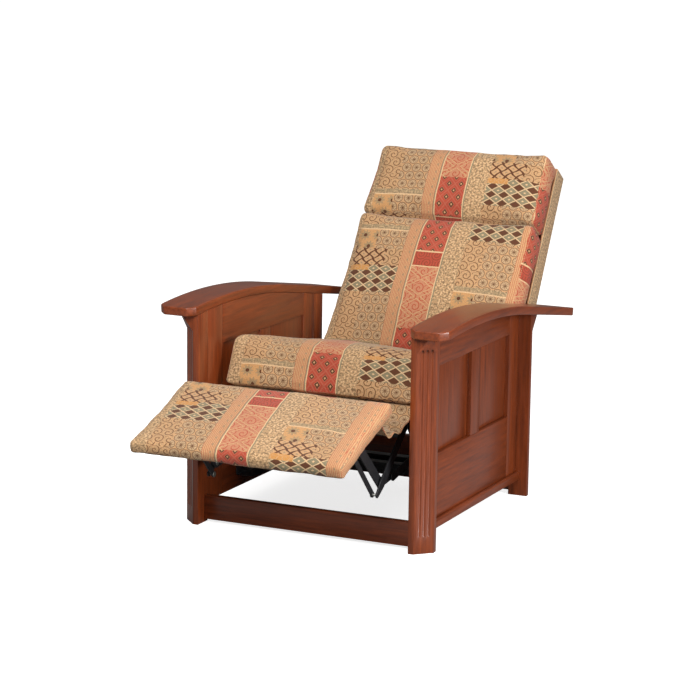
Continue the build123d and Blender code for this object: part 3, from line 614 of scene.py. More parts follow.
def lay_cloth(piece, place, half, top, shift, lean=0.0, wraps_front=False, last=BEYOND):
    """Gives a cushion's cover its cloth coordinates, in metres on the repeat.
    The cloth runs over the top and round the ends; the sides carry on from the
    top's edge. half is the half width, top the height of the top's rim, shift
    where the plane's origin falls on the repeat, lean how far the columns drift
    aside, and last the furthest place across the repeat that the cover shows."""
    mesh = piece.data
    points, corners, normals = mesh_arrays(mesh)
    at = into_plane(points, place)[corners]
    facing = normals @ np.array(local_axes(place).to_3x3())
    across, along, out = at[:, 0], at[:, 1], at[:, 2]
    deep = np.clip(top - out, 0, None)
    if wraps_front:
        run = -(along + out)
    else:
        run = -along + np.where(facing[:, 1] < -END_ON, deep, 0) - np.where(facing[:, 1] > END_ON, deep, 0)
    side = np.abs(facing[:, 0]) > SIDE_ON
    across = np.where(side, np.sign(facing[:, 0]) * (half + deep), across)
    run = np.where(side, -along, run)
    run = np.where(facing[:, 2] < -END_ON, along, run)
    layer = mesh.uv_layers.new(name="cloth")
    # Past its last place the cloth is folded back, so the stripes run on round the edge
    column = last - np.abs(last - across - shift[0] - lean * along)
    laid = np.column_stack([column, run + shift[1]])
    layer.data.foreach_set("uv", laid.ravel())
    return piece


# The cloth solver's last frame, and the waves per metre of the covers' rumple
SETTLED_FRAME = 20
BROAD_WAVES, FINE_WAVES = 13.0, 41.0


def deepened(mesh, plane, depth, reach):
    """Welds a cushion's mesh, and moves what lies below depth down by reach, both
    in the plane's axes."""
    draft = bmesh.new()
    draft.from_mesh(mesh)
    bmesh.ops.remove_doubles(draft, verts=draft.verts, dist=WELD)
    axes = local_axes(plane)
    inverse = axes.inverted()
    for vertex in draft.verts:
        at = inverse @ vertex.co
        if at.z < depth:
            vertex.co = axes @ (at - Vector((0, 0, reach)))
    draft.to_mesh(mesh)
    draft.free()


def relaxed(piece, factor):
    """Evens out a cover's mesh."""
    smooth = piece.modifiers.new("relax", "SMOOTH")
    smooth.iterations = 2
    smooth.factor = factor


def blown_up(piece, cap, pressure):
    """Fills a cover by the cloth solver, and lets no point move further than cap."""
    before, *_ = mesh_arrays(piece.data)
    cloth = piece.modifiers.new("fill", "CLOTH")
    cloth.settings.quality = 5
    cloth.settings.use_pressure = True
    cloth.settings.uniform_pressure_force = pressure
    cloth.settings.effector_weights.gravity = 0.0
    cloth.settings.tension_stiffness = 15.0
    cloth.settings.bending_stiffness = 0.6
    cloth.collision_settings.use_collision = False
    for number in range(1, SETTLED_FRAME + 1):
        bpy.context.scene.frame_set(number)
    shown = piece.evaluated_get(bpy.context.evaluated_depsgraph_get())
    after = np.empty(len(before) * 3)
    shown.data.vertices.foreach_get("co", after)
    piece.modifiers.clear()
    move = after.reshape(-1, 3) - before
    reach = np.linalg.norm(move, axis=1, keepdims=True)
    held = cap * np.tanh(reach / cap)
    moved = before + move * np.divide(held, reach, out=np.zeros_like(reach), where=reach > 1e-9)
    piece.data.vertices.foreach_set("co", moved.ravel())
    bpy.context.scene.frame_set(1)


def rumpled(piece, height):
    """Lifts a cover in soft waves, as cloth lies over filling that has settled."""
    rise = [height * (noise.noise(v.co * BROAD_WAVES) + 0.35 * noise.noise(v.co * FINE_WAVES))
            for v in piece.data.vertices]
    outwards = [normal.vector.copy() for normal in piece.data.vertex_normals]
    for vertex, outward, lift in zip(piece.data.vertices, outwards, rise):
        vertex.co += outward * lift


def stuffed(name, node, voxel, cap, pressure, deepen):
    """A cushion blown up from its CAD shape, then smoothed and rumpled. voxel is
    the cover's mesh size, cap the furthest it may swell, and deepen the plane,
    depth and reach of what goes deeper."""
    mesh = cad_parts[node].data.copy()
    piece = bpy.data.objects.new(name, mesh)
    bpy.context.scene.collection.objects.link(piece)
    deepened(mesh, *deepen)
    remesh = piece.modifiers.new("cover", "REMESH")
    remesh.mode = "VOXEL"
    remesh.voxel_size = voxel
    relaxed(piece, 0.5)
    baked(piece)
    blown_up(piece, cap, pressure)
    relaxed(piece, 0.4)
    finer = piece.modifiers.new("finer", "SUBSURF")
    finer.levels = finer.render_levels = 1
    baked(piece)
    rumpled(piece, bpy.context.scene.recliner_sizes.cover_rumple)
    shade_smooth(piece.data)
    return piece


def covered(piece, node, body, material):
    """A cushion dressed in the cloth, riding its body in place of its CAD solid."""
    piece.data.materials.clear()
    piece.data.materials.append(material)
    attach(piece, body)
    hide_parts(node)
    return piece


def rule_tree(name, sizes, whole=()):
    """An empty geometry tree with a mesh input, a material, and named sizes and
    counts. Returns the tree, its inputs, and those inputs that are numbers."""
    tree = bpy.data.node_groups.new(name, "GeometryNodeTree")
    tree.interface.new_socket("Geometry", in_out="INPUT", socket_type="NodeSocketGeometry")
    for label in sizes:
        tree.interface.new_socket(label, in_out="INPUT", socket_type="NodeSocketFloat")
    for label in whole:
        tree.interface.new_socket(label, in_out="INPUT", socket_type="NodeSocketInt")
    tree.interface.new_socket("Finish", in_out="INPUT", socket_type="NodeSocketMaterial")
    tree.interface.new_socket("Geometry", in_out="OUTPUT", socket_type="NodeSocketGeometry")
    given = tree.nodes.new("NodeGroupInput").outputs
    return tree, given, {label: given[label] for label in (*sizes, *whole)}


def finish_tree(tree, mesh, given):
    """Ends a geometry tree: instances made real, shaded and given their material."""
    real = add_node(tree, "GeometryNodeRealizeInstances", {0: mesh})
    smooth = add_node(tree, "GeometryNodeSetShadeSmooth", {0: real.outputs[0]})
    painted = add_node(tree, "GeometryNodeSetMaterial", {0: smooth.outputs[0], "Material": given["Finish"]})
    add_node(tree, "NodeGroupOutput", {0: painted.outputs[0]})


def run_tree(piece, tree, values):
    """Runs a geometry tree on a piece with the given values, and keeps the mesh."""
    sockets = {item.name: item.identifier for item in tree.interface.items_tree if item.in_out == "INPUT"}
    modifier = piece.modifiers.new(tree.name, "NODES")
    modifier.node_group = tree
    for label, value in values.items():
        modifier[sockets[label]] = value
    return baked(piece)


def seam_stitches():
    """Stitches laid end to end along a drawn path."""
    tree, given, known = rule_tree("seam stitches", ("Pitch", "Stitch Length", "Thread Radius"))
    path = add_node(tree, "GeometryNodeMeshToCurve", {0: given["Geometry"]})
    along = add_node(tree, "GeometryNodeCurveToPoints", {"Curve": path.outputs[0], "Length": given["Pitch"]},
                     mode="LENGTH")
    work_out(tree, known, (("start", "MULTIPLY", "Stitch Length", -0.5), ("end", "MULTIPLY", "Stitch Length", 0.5)))
    ends = [add_node(tree, "ShaderNodeCombineXYZ", {"Z": known[key]}) for key in ("start", "end")]
    thread = add_node(tree, "GeometryNodeCurvePrimitiveLine",
                      {"Start": ends[0].outputs[0], "End": ends[1].outputs[0]})
    fine = add_node(tree, "GeometryNodeResampleCurve", {"Curve": thread.outputs[0], "Count": 7})
    part = add_node(tree, "GeometryNodeSplineParameter")
    work_out(tree, known, (("turn", "MULTIPLY", part.outputs["Factor"], math.pi), ("swell", "SINE", "turn"),
                           ("taper", "MULTIPLY_ADD", "swell", 0.7, 0.3)))
    tapered = add_node(tree, "GeometryNodeSetCurveRadius", {"Curve": fine.outputs[0], "Radius": known["taper"]})
    ring = add_node(tree, "GeometryNodeCurvePrimitiveCircle", {"Resolution": 8, "Radius": given["Thread Radius"]})
    stitch = add_node(tree, "GeometryNodeCurveToMesh",
                      {"Curve": tapered.outputs[0], "Profile Curve": ring.outputs[0], "Fill Caps": True})
    sewn = add_node(tree, "GeometryNodeInstanceOnPoints",
                    {"Points": along.outputs["Points"], "Instance": stitch.outputs[0],
                     "Rotation": along.outputs["Rotation"]})
    finish_tree(tree, sewn.outputs[0], given)
    return tree


def bow_arm():
    """A flat arm bent to an arc and then running straight: the height of its top
    falls from the crest as a circle does, until the arc's end, and then evenly."""
    tree, given, known = rule_tree("bow arm", (
        "Width", "Thickness", "Corner Clip", "Bow Radius", "Front", "Rear", "Crest", "Arc End", "Crest Height",
        "Middle"), ("Steps",))
    work_out(tree, known, (("long", "SUBTRACT", "Rear", "Front"), ("half", "MULTIPLY", "Width", 0.5)))
    sheet = add_node(tree, "GeometryNodeMeshGrid", {"Size X": known["Width"], "Size Y": known["long"],
                                                    "Vertices X": 9, "Vertices Y": given["Steps"]})
    place = add_node(tree, "GeometryNodeInputPosition")
    split = add_node(tree, "ShaderNodeSeparateXYZ", {0: place.outputs[0]})
    known.update(x=split.outputs[0], y=split.outputs[1])
    work_out(tree, known, (
        ("mid", "MULTIPLY_ADD", "long", 0.5, "Front"), ("at", "ADD", "y", "mid"),
        ("from front", "SUBTRACT", "at", "Front"), ("short", "SUBTRACT", "Corner Clip", "from front"),
        ("cut", "MAXIMUM", "short", 0.0), ("left", "SUBTRACT", "half", "cut"),
        ("narrow", "DIVIDE", "left", "half"), ("new x", "MULTIPLY_ADD", "x", "narrow", "Middle"),
        ("in arc", "MINIMUM", "at", "Arc End"), ("past crest", "SUBTRACT", "in arc", "Crest"),
        ("past squared", "MULTIPLY", "past crest", "past crest"),
        ("r squared", "MULTIPLY", "Bow Radius", "Bow Radius"),
        ("rest", "SUBTRACT", "r squared", "past squared"), ("arc", "SQRT", "rest"),
        ("drop", "SUBTRACT", "arc", "Bow Radius"), ("arc height", "ADD", "Crest Height", "drop"),
        ("arc run", "SUBTRACT", "Arc End", "Crest"), ("sine", "DIVIDE", "arc run", "Bow Radius"),
        ("angle", "ARCSINE", "sine"), ("slope", "TANGENT", "angle"),
        ("over", "SUBTRACT", "at", "Arc End"), ("tail", "MAXIMUM", "over", 0.0),
        ("fall", "MULTIPLY", "tail", "slope"), ("new z", "SUBTRACT", "arc height", "fall"),
        ("sink", "MULTIPLY", "Thickness", -1.0),
    ))
    spot = add_node(tree, "ShaderNodeCombineXYZ", {0: known["new x"], 1: known["at"], 2: known["new z"]})
    top = add_node(tree, "GeometryNodeSetPosition", {"Geometry": sheet.outputs[0], "Position": spot.outputs[0]})
    foot = add_node(tree, "GeometryNodeExtrudeMesh", {"Mesh": top.outputs[0], "Offset Scale": known["sink"],
                                                      "Individual": False}, mode="FACES")
    turned = add_node(tree, "GeometryNodeFlipFaces", {0: foot.outputs[0]})
    both = add_node(tree, "GeometryNodeJoinGeometry", {0: turned.outputs[0]})
    tree.links.new(top.outputs[0], both.inputs[0])
    whole = add_node(tree, "GeometryNodeMergeByDistance", {"Geometry": both.outputs[0], "Distance": 0.00002})
    finish_tree(tree, whole.outputs[0], given)
    return tree


def sinuous_springs():
    """Rows of flat zigzag spring wire, each with a straight lead at both ends."""
    tree, given, known = rule_tree("sinuous springs", ("Wire Radius", "Reach", "Swing", "Lead", "Row Gap"),
                                   ("Loops", "Rows"))
    part = add_node(tree, "GeometryNodeSplineParameter")
    work_out(tree, known, (
        ("along", "MULTIPLY", part.outputs["Factor"], "Reach"), ("past lead", "SUBTRACT", "along", "Lead"),
        ("bent", "MULTIPLY_ADD", "Lead", -2.0, "Reach"), ("share", "DIVIDE", "past lead", "bent"),
        ("from 0", "MAXIMUM", "share", 0.0), ("to 1", "MINIMUM", "from 0", 1.0),
        ("half turns", "MULTIPLY", "to 1", "Loops"), ("turn", "MULTIPLY", "half turns", math.pi),
        ("wave", "SINE", "turn"), ("steep", "MULTIPLY", "wave", 2.2), ("square", "TANH", "steep"),
        ("aside", "MULTIPLY", "square", "Swing"),
    ))
    line = add_node(tree, "GeometryNodeCurvePrimitiveLine")
    fine = add_node(tree, "GeometryNodeResampleCurve", {"Curve": line.outputs[0], "Count": 181})
    spot = add_node(tree, "ShaderNodeCombineXYZ", {0: known["along"], 1: known["aside"]})
    bent = add_node(tree, "GeometryNodeSetPosition", {"Geometry": fine.outputs[0], "Position": spot.outputs[0]})
    ring = add_node(tree, "GeometryNodeCurvePrimitiveCircle", {"Resolution": 10, "Radius": given["Wire Radius"]})
    wire = add_node(tree, "GeometryNodeCurveToMesh",
                    {"Curve": bent.outputs[0], "Profile Curve": ring.outputs[0], "Fill Caps": True})
    step = add_node(tree, "ShaderNodeCombineXYZ", {1: given["Row Gap"]})
    rows = add_node(tree, "GeometryNodeMeshLine", {"Count": given["Rows"], "Offset": step.outputs[0]})
    strung = add_node(tree, "GeometryNodeInstanceOnPoints",
                      {"Points": rows.outputs[0], "Instance": wire.outputs[0]})
    finish_tree(tree, strung.outputs[0], given)
    return tree


def sewn_seam(name, cover, place, spots, body):
    """Stitches along a cushion's edge. Each spot is a point outside the cover and
    the direction back to it, in the cushion's axes, and the seam lies where they meet."""
    surface = BVHTree.FromPolygons([v.co for v in cover.data.vertices], [p.vertices for p in cover.data.polygons])
    axes = local_axes(place)
    found = [surface.ray_cast(axes @ Vector(start), axes.to_3x3() @ Vector(way).normalized())
             for start, way in spots]
    points = [hit[0] for hit in found if hit[0]]
    if len(points) < 4:
        raise RuntimeError(f"{name}: the seam's path misses the cover")
    mesh = bpy.data.meshes.new(name)
    mesh.from_pydata(points, [(i, i + 1) for i in range(len(points) - 1)], [])
    piece = bpy.data.objects.new(name, mesh)
    bpy.context.scene.collection.objects.link(piece)
    sizes = bpy.context.scene.recliner_sizes
    tree = bpy.data.node_groups.get("seam stitches") or seam_stitches()
    run_tree(piece, tree, {"Pitch": sizes.stitch_pitch, "Stitch Length": sizes.stitch_length,
                           "Thread Radius": sizes.thread_radius, "Finish": finishes()["seam thread"]})
    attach(piece, body)
    return piece


def side_seams(name, cover, place, body, half, start, end, front=None):
    """A seam along each long edge of a cushion, down its front face too if front is
    given. Its places are sought from a little way outside the cover's edge."""
    off, ahead = 0.05, -0.06
    for hand, sign in zip(PAIRED, (1.0, -1.0)):
        spots = [((sign * (half + off), y, off), (-sign, 0.0, -1.0)) for y in np.linspace(start, end, 60)]
        if front:
            spots += [((sign * (half + off), ahead, z), (-sign, 1.0, 0.0)) for z in np.linspace(*front, 16)]
        sewn_seam(f"{name}_{hand}", cover, place, spots, body)


# The apron's path as places back and up, from the footrest's heel down and up to the seat's lip
APRON_SPOTS = ((-0.51434, 0.3957), (-0.49638, 0.3475), (-0.42938, 0.3375), (-0.36438, 0.3475), (-0.31435, 0.3835))
CLOTH_THICKNESS = 0.0024


def sling_path(spots):
    """A smooth path through the spots: its points, the directions square to it,
    and how far each point is along it."""
    spots = np.array(spots)
    chords = np.concatenate(([0], np.cumsum(np.linalg.norm(np.diff(spots, axis=0), axis=1))))
    fine = np.linspace(0, chords[-1], 61)
    path = np.column_stack([np.polyval(np.polyfit(chords, spots[:, k], 4), fine) for k in (0, 1)])
    run = np.concatenate(([0], np.cumsum(np.linalg.norm(np.diff(path, axis=0), axis=1))))
    lean = np.gradient(path, axis=0)
    out = np.column_stack([-lean[:, 1], lean[:, 0]]) / np.linalg.norm(lean, axis=1)[:, None]
    return path, out, run


def folded_points(path, out, run, half, columns):
    """The apron's points, row by row. Slack cloth waves by about 2 mm, most half way
    down, and gathers into puckers within 45 mm of both side edges."""
    points = []
    for j, (y, z) in enumerate(path):
        share = run[j] / run[-1]
        slack = math.sin(math.pi * share)
        puckers = 0.008 + 0.006 * math.sin(95 * run[j])
        for i in range(columns):
            x = half * (2 * i / (columns - 1) - 1)
            gather = math.exp(-(half - abs(x)) / 0.045)
            fold = slack * (0.0022 * math.sin(61 * x + 5 * share) + 0.0016 * math.sin(143 * x - 9 * share))
            fold += gather * slack * puckers
            points.append((x, y - out[j, 0] * fold, z - out[j, 1] * fold))
    return points


def paper_floor(scene):
    """A sheet of white paper that the camera sees lit up, and that the chair sees
    dull, so that no bright floor shows in the lacquer or under the arms."""
    reach = 90
    mesh = bpy.data.meshes.new("studio_floor")
    mesh.from_pydata([(-reach, -reach, 0), (reach, -reach, 0), (reach, reach, 0), (-reach, reach, 0)], [],
                     [(0, 1, 2, 3)])
    floor = bpy.data.objects.new("studio_floor", mesh)
    scene.collection.objects.link(floor)
    tree, matt = new_finish("studio paper")
    matt.inputs["Base Color"].default_value = (0.8, 0.8, 0.8, 1)
    matt.inputs["Roughness"].default_value = 0.9
    seen = add_node(tree, "ShaderNodeLightPath")
    glow = add_node(tree, "ShaderNodeEmission", {0: (1, 1, 1, 1), 1: 0.78})
    dark = add_node(tree, "ShaderNodeEmission", {1: 0.0})
    lift = add_node(tree, "ShaderNodeMixShader", {0: seen.outputs["Is Camera Ray"], 1: dark.outputs[0],
                                                  2: glow.outputs[0]})
    both = add_node(tree, "ShaderNodeAddShader", {0: matt.outputs[0], 1: lift.outputs[0]})
    dull = add_node(tree, "ShaderNodeBsdfDiffuse", {0: (0.22, 0.22, 0.22, 1)})
    seen_as = add_node(tree, "ShaderNodeMixShader", {0: seen.outputs["Is Camera Ray"], 1: dull.outputs[0],
                                                     2: both.outputs[0]})
    tree.links.new(seen_as.outputs[0], tree.nodes["Material Output"].inputs[0])
    mesh.materials.append(bpy.data.materials["studio paper"])


def studio_world(scene):
    """White to the camera, soft light to the chair, and dimmer still in its gloss."""
    world = bpy.data.worlds.new("studio")
    world.use_nodes = True
    tree = world.node_tree
    tree.nodes.clear()
    seen = add_node(tree, "ShaderNodeLightPath")
    white = add_node(tree, "ShaderNodeBackground", {0: (1, 1, 1, 1), 1: 1.0})
    soft = add_node(tree, "ShaderNodeBackground", {0: (1, 0.98, 0.96, 1), 1: 0.38})
    dim = add_node(tree, "ShaderNodeBackground", {0: (1, 0.98, 0.96, 1), 1: 0.16})
    lit = add_node(tree, "ShaderNodeMixShader", {0: seen.outputs["Is Glossy Ray"], 1: soft.outputs[0],
                                                 2: dim.outputs[0]})
    both = add_node(tree, "ShaderNodeMixShader", {0: seen.outputs["Is Camera Ray"], 1: lit.outputs[0],
                                                  2: white.outputs[0]})
    add_node(tree, "ShaderNodeOutputWorld", {0: both.outputs[0]})
    scene.world = world


def studio_lamps(scene):
    """Square soft boxes, each with its place, its size in metres and its watts, all
    turned to the middle of the chair."""
    middle = Vector((0, -0.1, 0.5))
    lamps = (("key", (0.5, -3.4, 2.8), 1.8, 165.0), ("fill", (3.7, -1.2, 1.15), 1.2, 150.0),
             ("top", (0.2, -0.4, 4.0), 3.0, 70.0))
    for name, at, size, power in lamps:
        data = bpy.data.lights.new(name, "AREA")
        data.shape, data.size, data.energy = "SQUARE", size, power
        lamp = bpy.data.objects.new(name, data)
        lamp.location = at
        lamp.rotation_euler = (middle - Vector(at)).to_track_quat("-Z", "Y").to_euler()
        scene.collection.objects.link(lamp)


def photo_camera(scene):
    """The camera where the photograph was taken from."""
    lens = bpy.data.cameras.new("camera")
    lens.sensor_width, lens.lens = VIEW_SENSOR, VIEW_LENS
    camera = bpy.data.objects.new("camera", lens)
    azimuth, rise, roll = (math.radians(angle) for angle in (VIEW_AZIMUTH, VIEW_RISE, VIEW_ROLL))
    out = Vector((math.sin(azimuth) * math.cos(rise), -math.cos(azimuth) * math.cos(rise), math.sin(rise)))
    side = (-out).cross(Vector((0, 0, 1))).normalized()
    up = side.cross(-out)
    right = side * math.cos(roll) + up * math.sin(roll)
    top = up * math.cos(roll) - side * math.sin(roll)
    turn = Matrix((right, top, out)).transposed().to_4x4()
    turn.translation = Vector(VIEW_AIM) + out * VIEW_DISTANCE
    camera.matrix_world = turn
    scene.collection.objects.link(camera)
    scene.camera = camera


class RECLINER_OT_posts_and_arms(bpy.types.Operator):
    """Finishes the four posts and the two bow arms"""
    bl_idname = "recliner.posts_and_arms"
    bl_label = "Posts and Bow Arms"

    def execute(self, context):
        sizes, wood = context.scene.recliner_sizes, finishes()
        for hand in PAIRED:
            for post in ("front_post_", "rear_post_"):
                eased(post + hand, "frame", wood["cherry stain, upright"], sizes.post_ease)
        tree = bow_arm()
        for hand in PAIRED:
            low, high = (np.array(corner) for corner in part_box("arm_" + hand))
            arm = new_piece(f"arm_{hand}_bowed", bpy.data.meshes.new("arm"), "frame",
                            wood["cherry stain, lengthwise"])
            run_tree(arm, tree, {
                "Width": sizes.arm_width, "Thickness": sizes.arm_thickness, "Corner Clip": sizes.arm_clip,
                "Bow Radius": sizes.bow_radius, "Front": float(low[1]), "Rear": float(high[1]),
                "Crest": float(low[1]) + sizes.bow_crest, "Arc End": float(low[1]) + sizes.bow_end,
                "Crest Height": sizes.crest_height, "Middle": float(low[0] + high[0]) / 2, "Steps": 97,
                "Finish": wood["cherry stain, lengthwise"]})
            ease_edges(arm, sizes.arm_ease, 3)
            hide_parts("arm_" + hand)
        return {"FINISHED"}


class RECLINER_OT_side_frames(bpy.types.Operator):
    """Finishes the stiles, rails, panels and base mouldings of both sides"""
    bl_idname = "recliner.side_frames"
    bl_label = "Side Frames"

    def execute(self, context):
        sizes, wood = context.scene.recliner_sizes, finishes()
        grains = (
            ("cherry stain, upright", ("front_stile", "rear_stile", "centre_stile", "front_panel", "rear_panel")),
            ("cherry stain, lengthwise", ("top_rail", "lower_rail", "base_moulding")),
        )
        for hand in PAIRED:
            for grain, pieces in grains:
                for piece in pieces:
                    eased(f"side_{piece}_{hand}", "frame", wood[grain], sizes.post_ease)
        return {"FINISHED"}


class RECLINER_OT_cross_rails(bpy.types.Operator):
    """Finishes the stretchers, and the wooden frames inside the seat and back"""
    bl_idname = "recliner.cross_rails"
    bl_label = "Cross Rails and Inner Frames"

    def execute(self, context):
        sizes, wood = context.scene.recliner_sizes, finishes()
        for node in ("front_stretcher", "rear_stretcher"):
            eased(node, "frame", wood["cherry stain, across"], sizes.post_ease)
        inner = (("seat", "raw hardwood, lengthwise", ("seat_side_rail_left", "seat_side_rail_right")),
                 ("seat", "raw hardwood, across", ("seat_front_rail", "seat_rear_rail")),
                 ("back", "raw hardwood, upright", ("back_stile_left", "back_stile_right")),
                 ("back", "raw hardwood, across", ("back_lower_rail", "back_top_rail")))
        for body, finish, nodes in inner:
            for node in nodes:
                eased(node, body, wood[finish], sizes.post_ease)
        return {"FINISHED"}


class RECLINER_OT_mechanism(bpy.types.Operator):
    """Finishes the steel base, plates, links, tube and hinges"""
    bl_idname = "recliner.mechanism"
    bl_label = "Steel Mechanism"

    def execute(self, context):
        sizes, metal = context.scene.recliner_sizes, finishes()
        stamped = {
            "frame": ("base_channel_left", "base_channel_right", "base_cross_tubes"),
            "seat": ("seat_side_plate_left", "seat_side_plate_right"),
            "back": ("back_hinge_plates",),
            "rear_links": ("rear_link_left", "rear_link_right", "torque_tube"),
            "front_links": ("front_link_left", "front_link_right"),
            "rear_followers": ("rear_followers",),
            "front_followers": ("front_followers",),
            "footrest": ("footrest_brackets",),
        }
        for body, nodes in stamped.items():
            for node in nodes:
                eased(node, body, metal["painted steel"], sizes.steel_ease, 1)
        fasteners = {"frame": ("channel_bolts", "seat_pivot_pins"), "seat": ("seat_pins",),
                     "rear_links": ("rear_link_pins",), "footrest": ("footrest_pins",)}
        for body, nodes in fasteners.items():
            for node in nodes:
                eased(node, body, metal["zinc plate"], sizes.steel_ease, 1)
        return {"FINISHED"}


class RECLINER_OT_springs(bpy.types.Operator):
    """Bends the sinuous springs of the seat and the back"""
    bl_idname = "recliner.springs"
    bl_label = "Sinuous Springs"

    def execute(self, context):
        sizes, steel = context.scene.recliner_sizes, finishes()["drawn spring steel"]
        tree = sinuous_springs()
        rows, loops = 5, 6
        # Each set's node, body, plane, and the axis of that plane that its wires run along
        sets = (("seat_springs", "seat", SEAT_EDGE, 1), ("back_springs", "back", BACK_HEEL, 0))
        for node, body, place, along in sets:
            points, *_ = mesh_arrays(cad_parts[node].data)
            at = into_plane(points, place)
            low, high = at.min(axis=0), at.max(axis=0)
            swing = sizes.spring_swing + sizes.spring_wire
            spread = high[1 - along] - low[1 - along] - 2 * swing
            springs = new_piece(node + "_bent", bpy.data.meshes.new(node), body, steel)
            run_tree(springs, tree, {
                "Wire Radius": sizes.spring_wire, "Swing": sizes.spring_swing, "Lead": sizes.spring_lead,
                "Reach": float(high[along] - low[along]), "Row Gap": float(spread) / (rows - 1),
                "Loops": loops, "Rows": rows, "Finish": steel})
            middle = float(low[2] + high[2]) / 2
            if along:
                start = Matrix.Translation((high[0] - swing, low[1], middle)) @ Matrix.Rotation(math.pi / 2, 4, "Z")
            else:
                start = Matrix.Translation((low[0], low[1] + swing, middle))
            springs.data.transform(local_axes(place) @ start)
            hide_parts(node)
        return {"FINISHED"}


class RECLINER_OT_seat_cushion(bpy.types.Operator):
    """Fills and covers the seat cushion, whose front wraps down over the rail"""
    bl_idname = "recliner.seat_cushion"
    bl_label = "Seat Cushion"

    def execute(self, context):
        sizes = context.scene.recliner_sizes
        # The rear end is stretched back by 14 mm, which narrows the slit to the back
        rear_end = ((SEAT_EDGE[0], SEAT_EDGE[1] + 90.0), -0.54, 0.014)
        seat = stuffed("seat_cover", "seat_cushion", sizes.seat_voxel, sizes.cushion_swell, pressure=1.2,
                       deepen=rear_end)
        lay_cloth(seat, SEAT_EDGE, half=0.292, top=0.0, shift=(0.043, -0.027), wraps_front=True)
        covered(seat, "seat_cushion", "seat", finishes()["patchwork tapestry"])
        side_seams("seat_seam", seat, SEAT_EDGE, "seat", half=0.292, start=0.54, end=0.02, front=(-0.02, -0.13))
        return {"FINISHED"}


class RECLINER_OT_back_cushions(bpy.types.Operator):
    """Fills and covers the lower back cushion and the headrest"""
    bl_idname = "recliner.back_cushions"
    bl_label = "Back Cushions"

    def execute(self, context):
        sizes = context.scene.recliner_sizes
        cloth = finishes()["patchwork tapestry"]
        # Both pads reach 6 mm deeper, onto the shell behind them
        heel = (BACK_HEEL, -0.084, 0.006)
        lower = stuffed("lower_back_cover", "lower_back_cushion", sizes.seat_voxel, sizes.cushion_swell,
                        pressure=1.2, deepen=heel)
        lay_cloth(lower, BACK_HEEL, half=0.3, top=0.0, shift=(0.064, 0.444))
        covered(lower, "lower_back_cushion", "back", cloth)
        side_seams("lower_back_seam", lower, BACK_HEEL, "back", half=0.29, start=0.0, end=0.425)
        head = stuffed("headrest_cover", "headrest_cushion", sizes.seat_voxel, sizes.cushion_swell,
                       pressure=1.2, deepen=heel)
        lay_cloth(head, BACK_HEEL, half=0.312, top=0.0, shift=(0.05, 0.567))
        covered(head, "headrest_cushion", "back", cloth)
        side_seams("headrest_seam", head, BACK_HEEL, "back", half=0.285, start=0.455, end=0.665)
        return {"FINISHED"}


class RECLINER_OT_outside_back(bpy.types.Operator):
    """Covers the shell behind the back cushions"""
    bl_idname = "recliner.outside_back"
    bl_label = "Outside Back"

    def execute(self, context):
        cloth = finishes()["patchwork tapestry"]
        ease = context.scene.recliner_sizes.shell_ease
        shell = eased("outside_back", "back", cloth, ease, 3)
        lay_cloth(shell, BACK_HEEL, half=0.394, top=-0.094, shift=(0.064, 0.444))
        return {"FINISHED"}


class RECLINER_OT_footrest(bpy.types.Operator):
    """Fills and covers the thin footrest pad"""
    bl_idname = "recliner.footrest"
    bl_label = "Footrest Cushion"

    def execute(self, context):
        sizes = context.scene.recliner_sizes
        # The underside goes down by 13 mm, so that the cover takes in the board
        wrap = (FOOT_EDGE, -0.012, 0.013)
        pad = stuffed("footrest_cover", "footrest_cushion", sizes.footrest_voxel, sizes.cushion_swell,
                      pressure=1.4, deepen=wrap)
        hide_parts("footrest_board")
        lay_cloth(pad, FOOT_EDGE, half=0.262, top=0.0, shift=(0.078, 0.073), lean=0.06, last=0.358)
        covered(pad, "footrest_cushion", "footrest", finishes()["patchwork tapestry"])
        side_seams("footrest_seam", pad, FOOT_EDGE, "footrest", half=0.313, start=-0.325, end=-0.012)
        return {"FINISHED"}


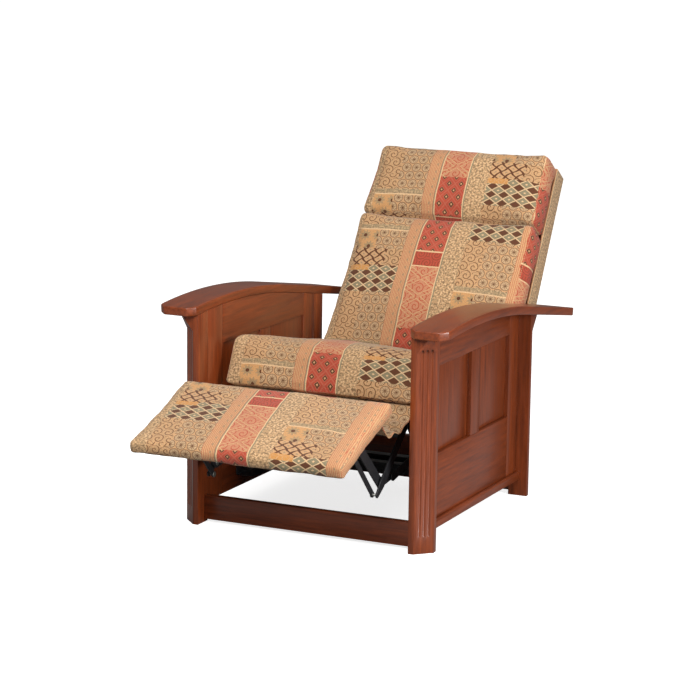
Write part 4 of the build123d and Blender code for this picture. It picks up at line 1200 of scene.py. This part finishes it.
class RECLINER_OT_apron(bpy.types.Operator):
    """Hangs the apron cloth between the seat's lip and the footrest"""
    bl_idname = "recliner.apron"
    bl_label = "Apron Cloth"

    def execute(self, context):
        half, columns = context.scene.recliner_sizes.apron_half_width, 141
        path, out, run = sling_path(APRON_SPOTS)
        points = folded_points(path, out, run, half, columns)
        faces = [(a, a + 1, a + columns + 1, a + columns)
                 for j in range(len(path) - 1) for a in range(j * columns, (j + 1) * columns - 1)]
        mesh = bpy.data.meshes.new("apron_cloth")
        mesh.from_pydata(points, [], faces)
        layer = mesh.uv_layers.new(name="cloth")
        for loop in mesh.loops:
            row = loop.vertex_index // columns
            layer.data[loop.index].uv = (points[loop.vertex_index][0] + 0.043, 0.12 + run[-1] - run[row])
        apron = bpy.data.objects.new("apron_cloth", mesh)
        context.scene.collection.objects.link(apron)
        thick = apron.modifiers.new("cloth", "SOLIDIFY")
        thick.thickness = CLOTH_THICKNESS
        thick.offset = 0.0
        baked(apron)
        shade_smooth(apron.data)
        apron.data.materials.append(finishes()["patchwork tapestry"])
        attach(apron, "seat")
        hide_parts("front_apron")
        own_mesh(apron)
        return {"FINISHED"}


class RECLINER_OT_stage(bpy.types.Operator):
    """Sets the pale floor, the soft studio light and the photograph's camera"""
    bl_idname = "recliner.stage"
    bl_label = "Studio and Camera"

    def execute(self, context):
        paper_floor(context.scene)
        studio_world(context.scene)
        studio_lamps(context.scene)
        photo_camera(context.scene)
        context.scene.view_settings.view_transform = "Standard"
        return {"FINISHED"}


OPERATORS = (
    RECLINER_OT_posts_and_arms, RECLINER_OT_side_frames, RECLINER_OT_cross_rails,
    RECLINER_OT_mechanism, RECLINER_OT_springs,
    RECLINER_OT_seat_cushion, RECLINER_OT_back_cushions, RECLINER_OT_outside_back,
    RECLINER_OT_footrest, RECLINER_OT_apron, RECLINER_OT_stage,
)


class RECLINER_PT_sidebar(bpy.types.Panel):
    """Lists the recliner's steps and sizes"""
    bl_label = "Bow-Arm Recliner"
    bl_idname = "RECLINER_PT_sidebar"
    bl_space_type = "VIEW_3D"
    bl_region_type = "UI"
    bl_category = "Recliner"

    def draw(self, context):
        for operator in OPERATORS:
            self.layout.operator(operator.bl_idname)
        for settings, table in ((context.scene.recliner_sizes, SIZES), (context.scene.recliner_colours, COLOURS)):
            for name, *_ in table:
                self.layout.prop(settings, name)


CLASSES = (ReclinerSizes, ReclinerColours, *OPERATORS, RECLINER_PT_sidebar)


def register():
    for cls in CLASSES:
        bpy.utils.register_class(cls)
    bpy.types.Scene.recliner_sizes = bpy.props.PointerProperty(type=ReclinerSizes)
    bpy.types.Scene.recliner_colours = bpy.props.PointerProperty(type=ReclinerColours)


def unregister():
    del bpy.types.Scene.recliner_sizes
    del bpy.types.Scene.recliner_colours
    for cls in reversed(CLASSES):
        bpy.utils.unregister_class(cls)


def main():
    register()
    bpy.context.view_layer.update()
    for operator in OPERATORS:
        group, name = operator.bl_idname.split(".")
        getattr(getattr(bpy.ops, group), name)()


if __name__ == "__main__":
    main()
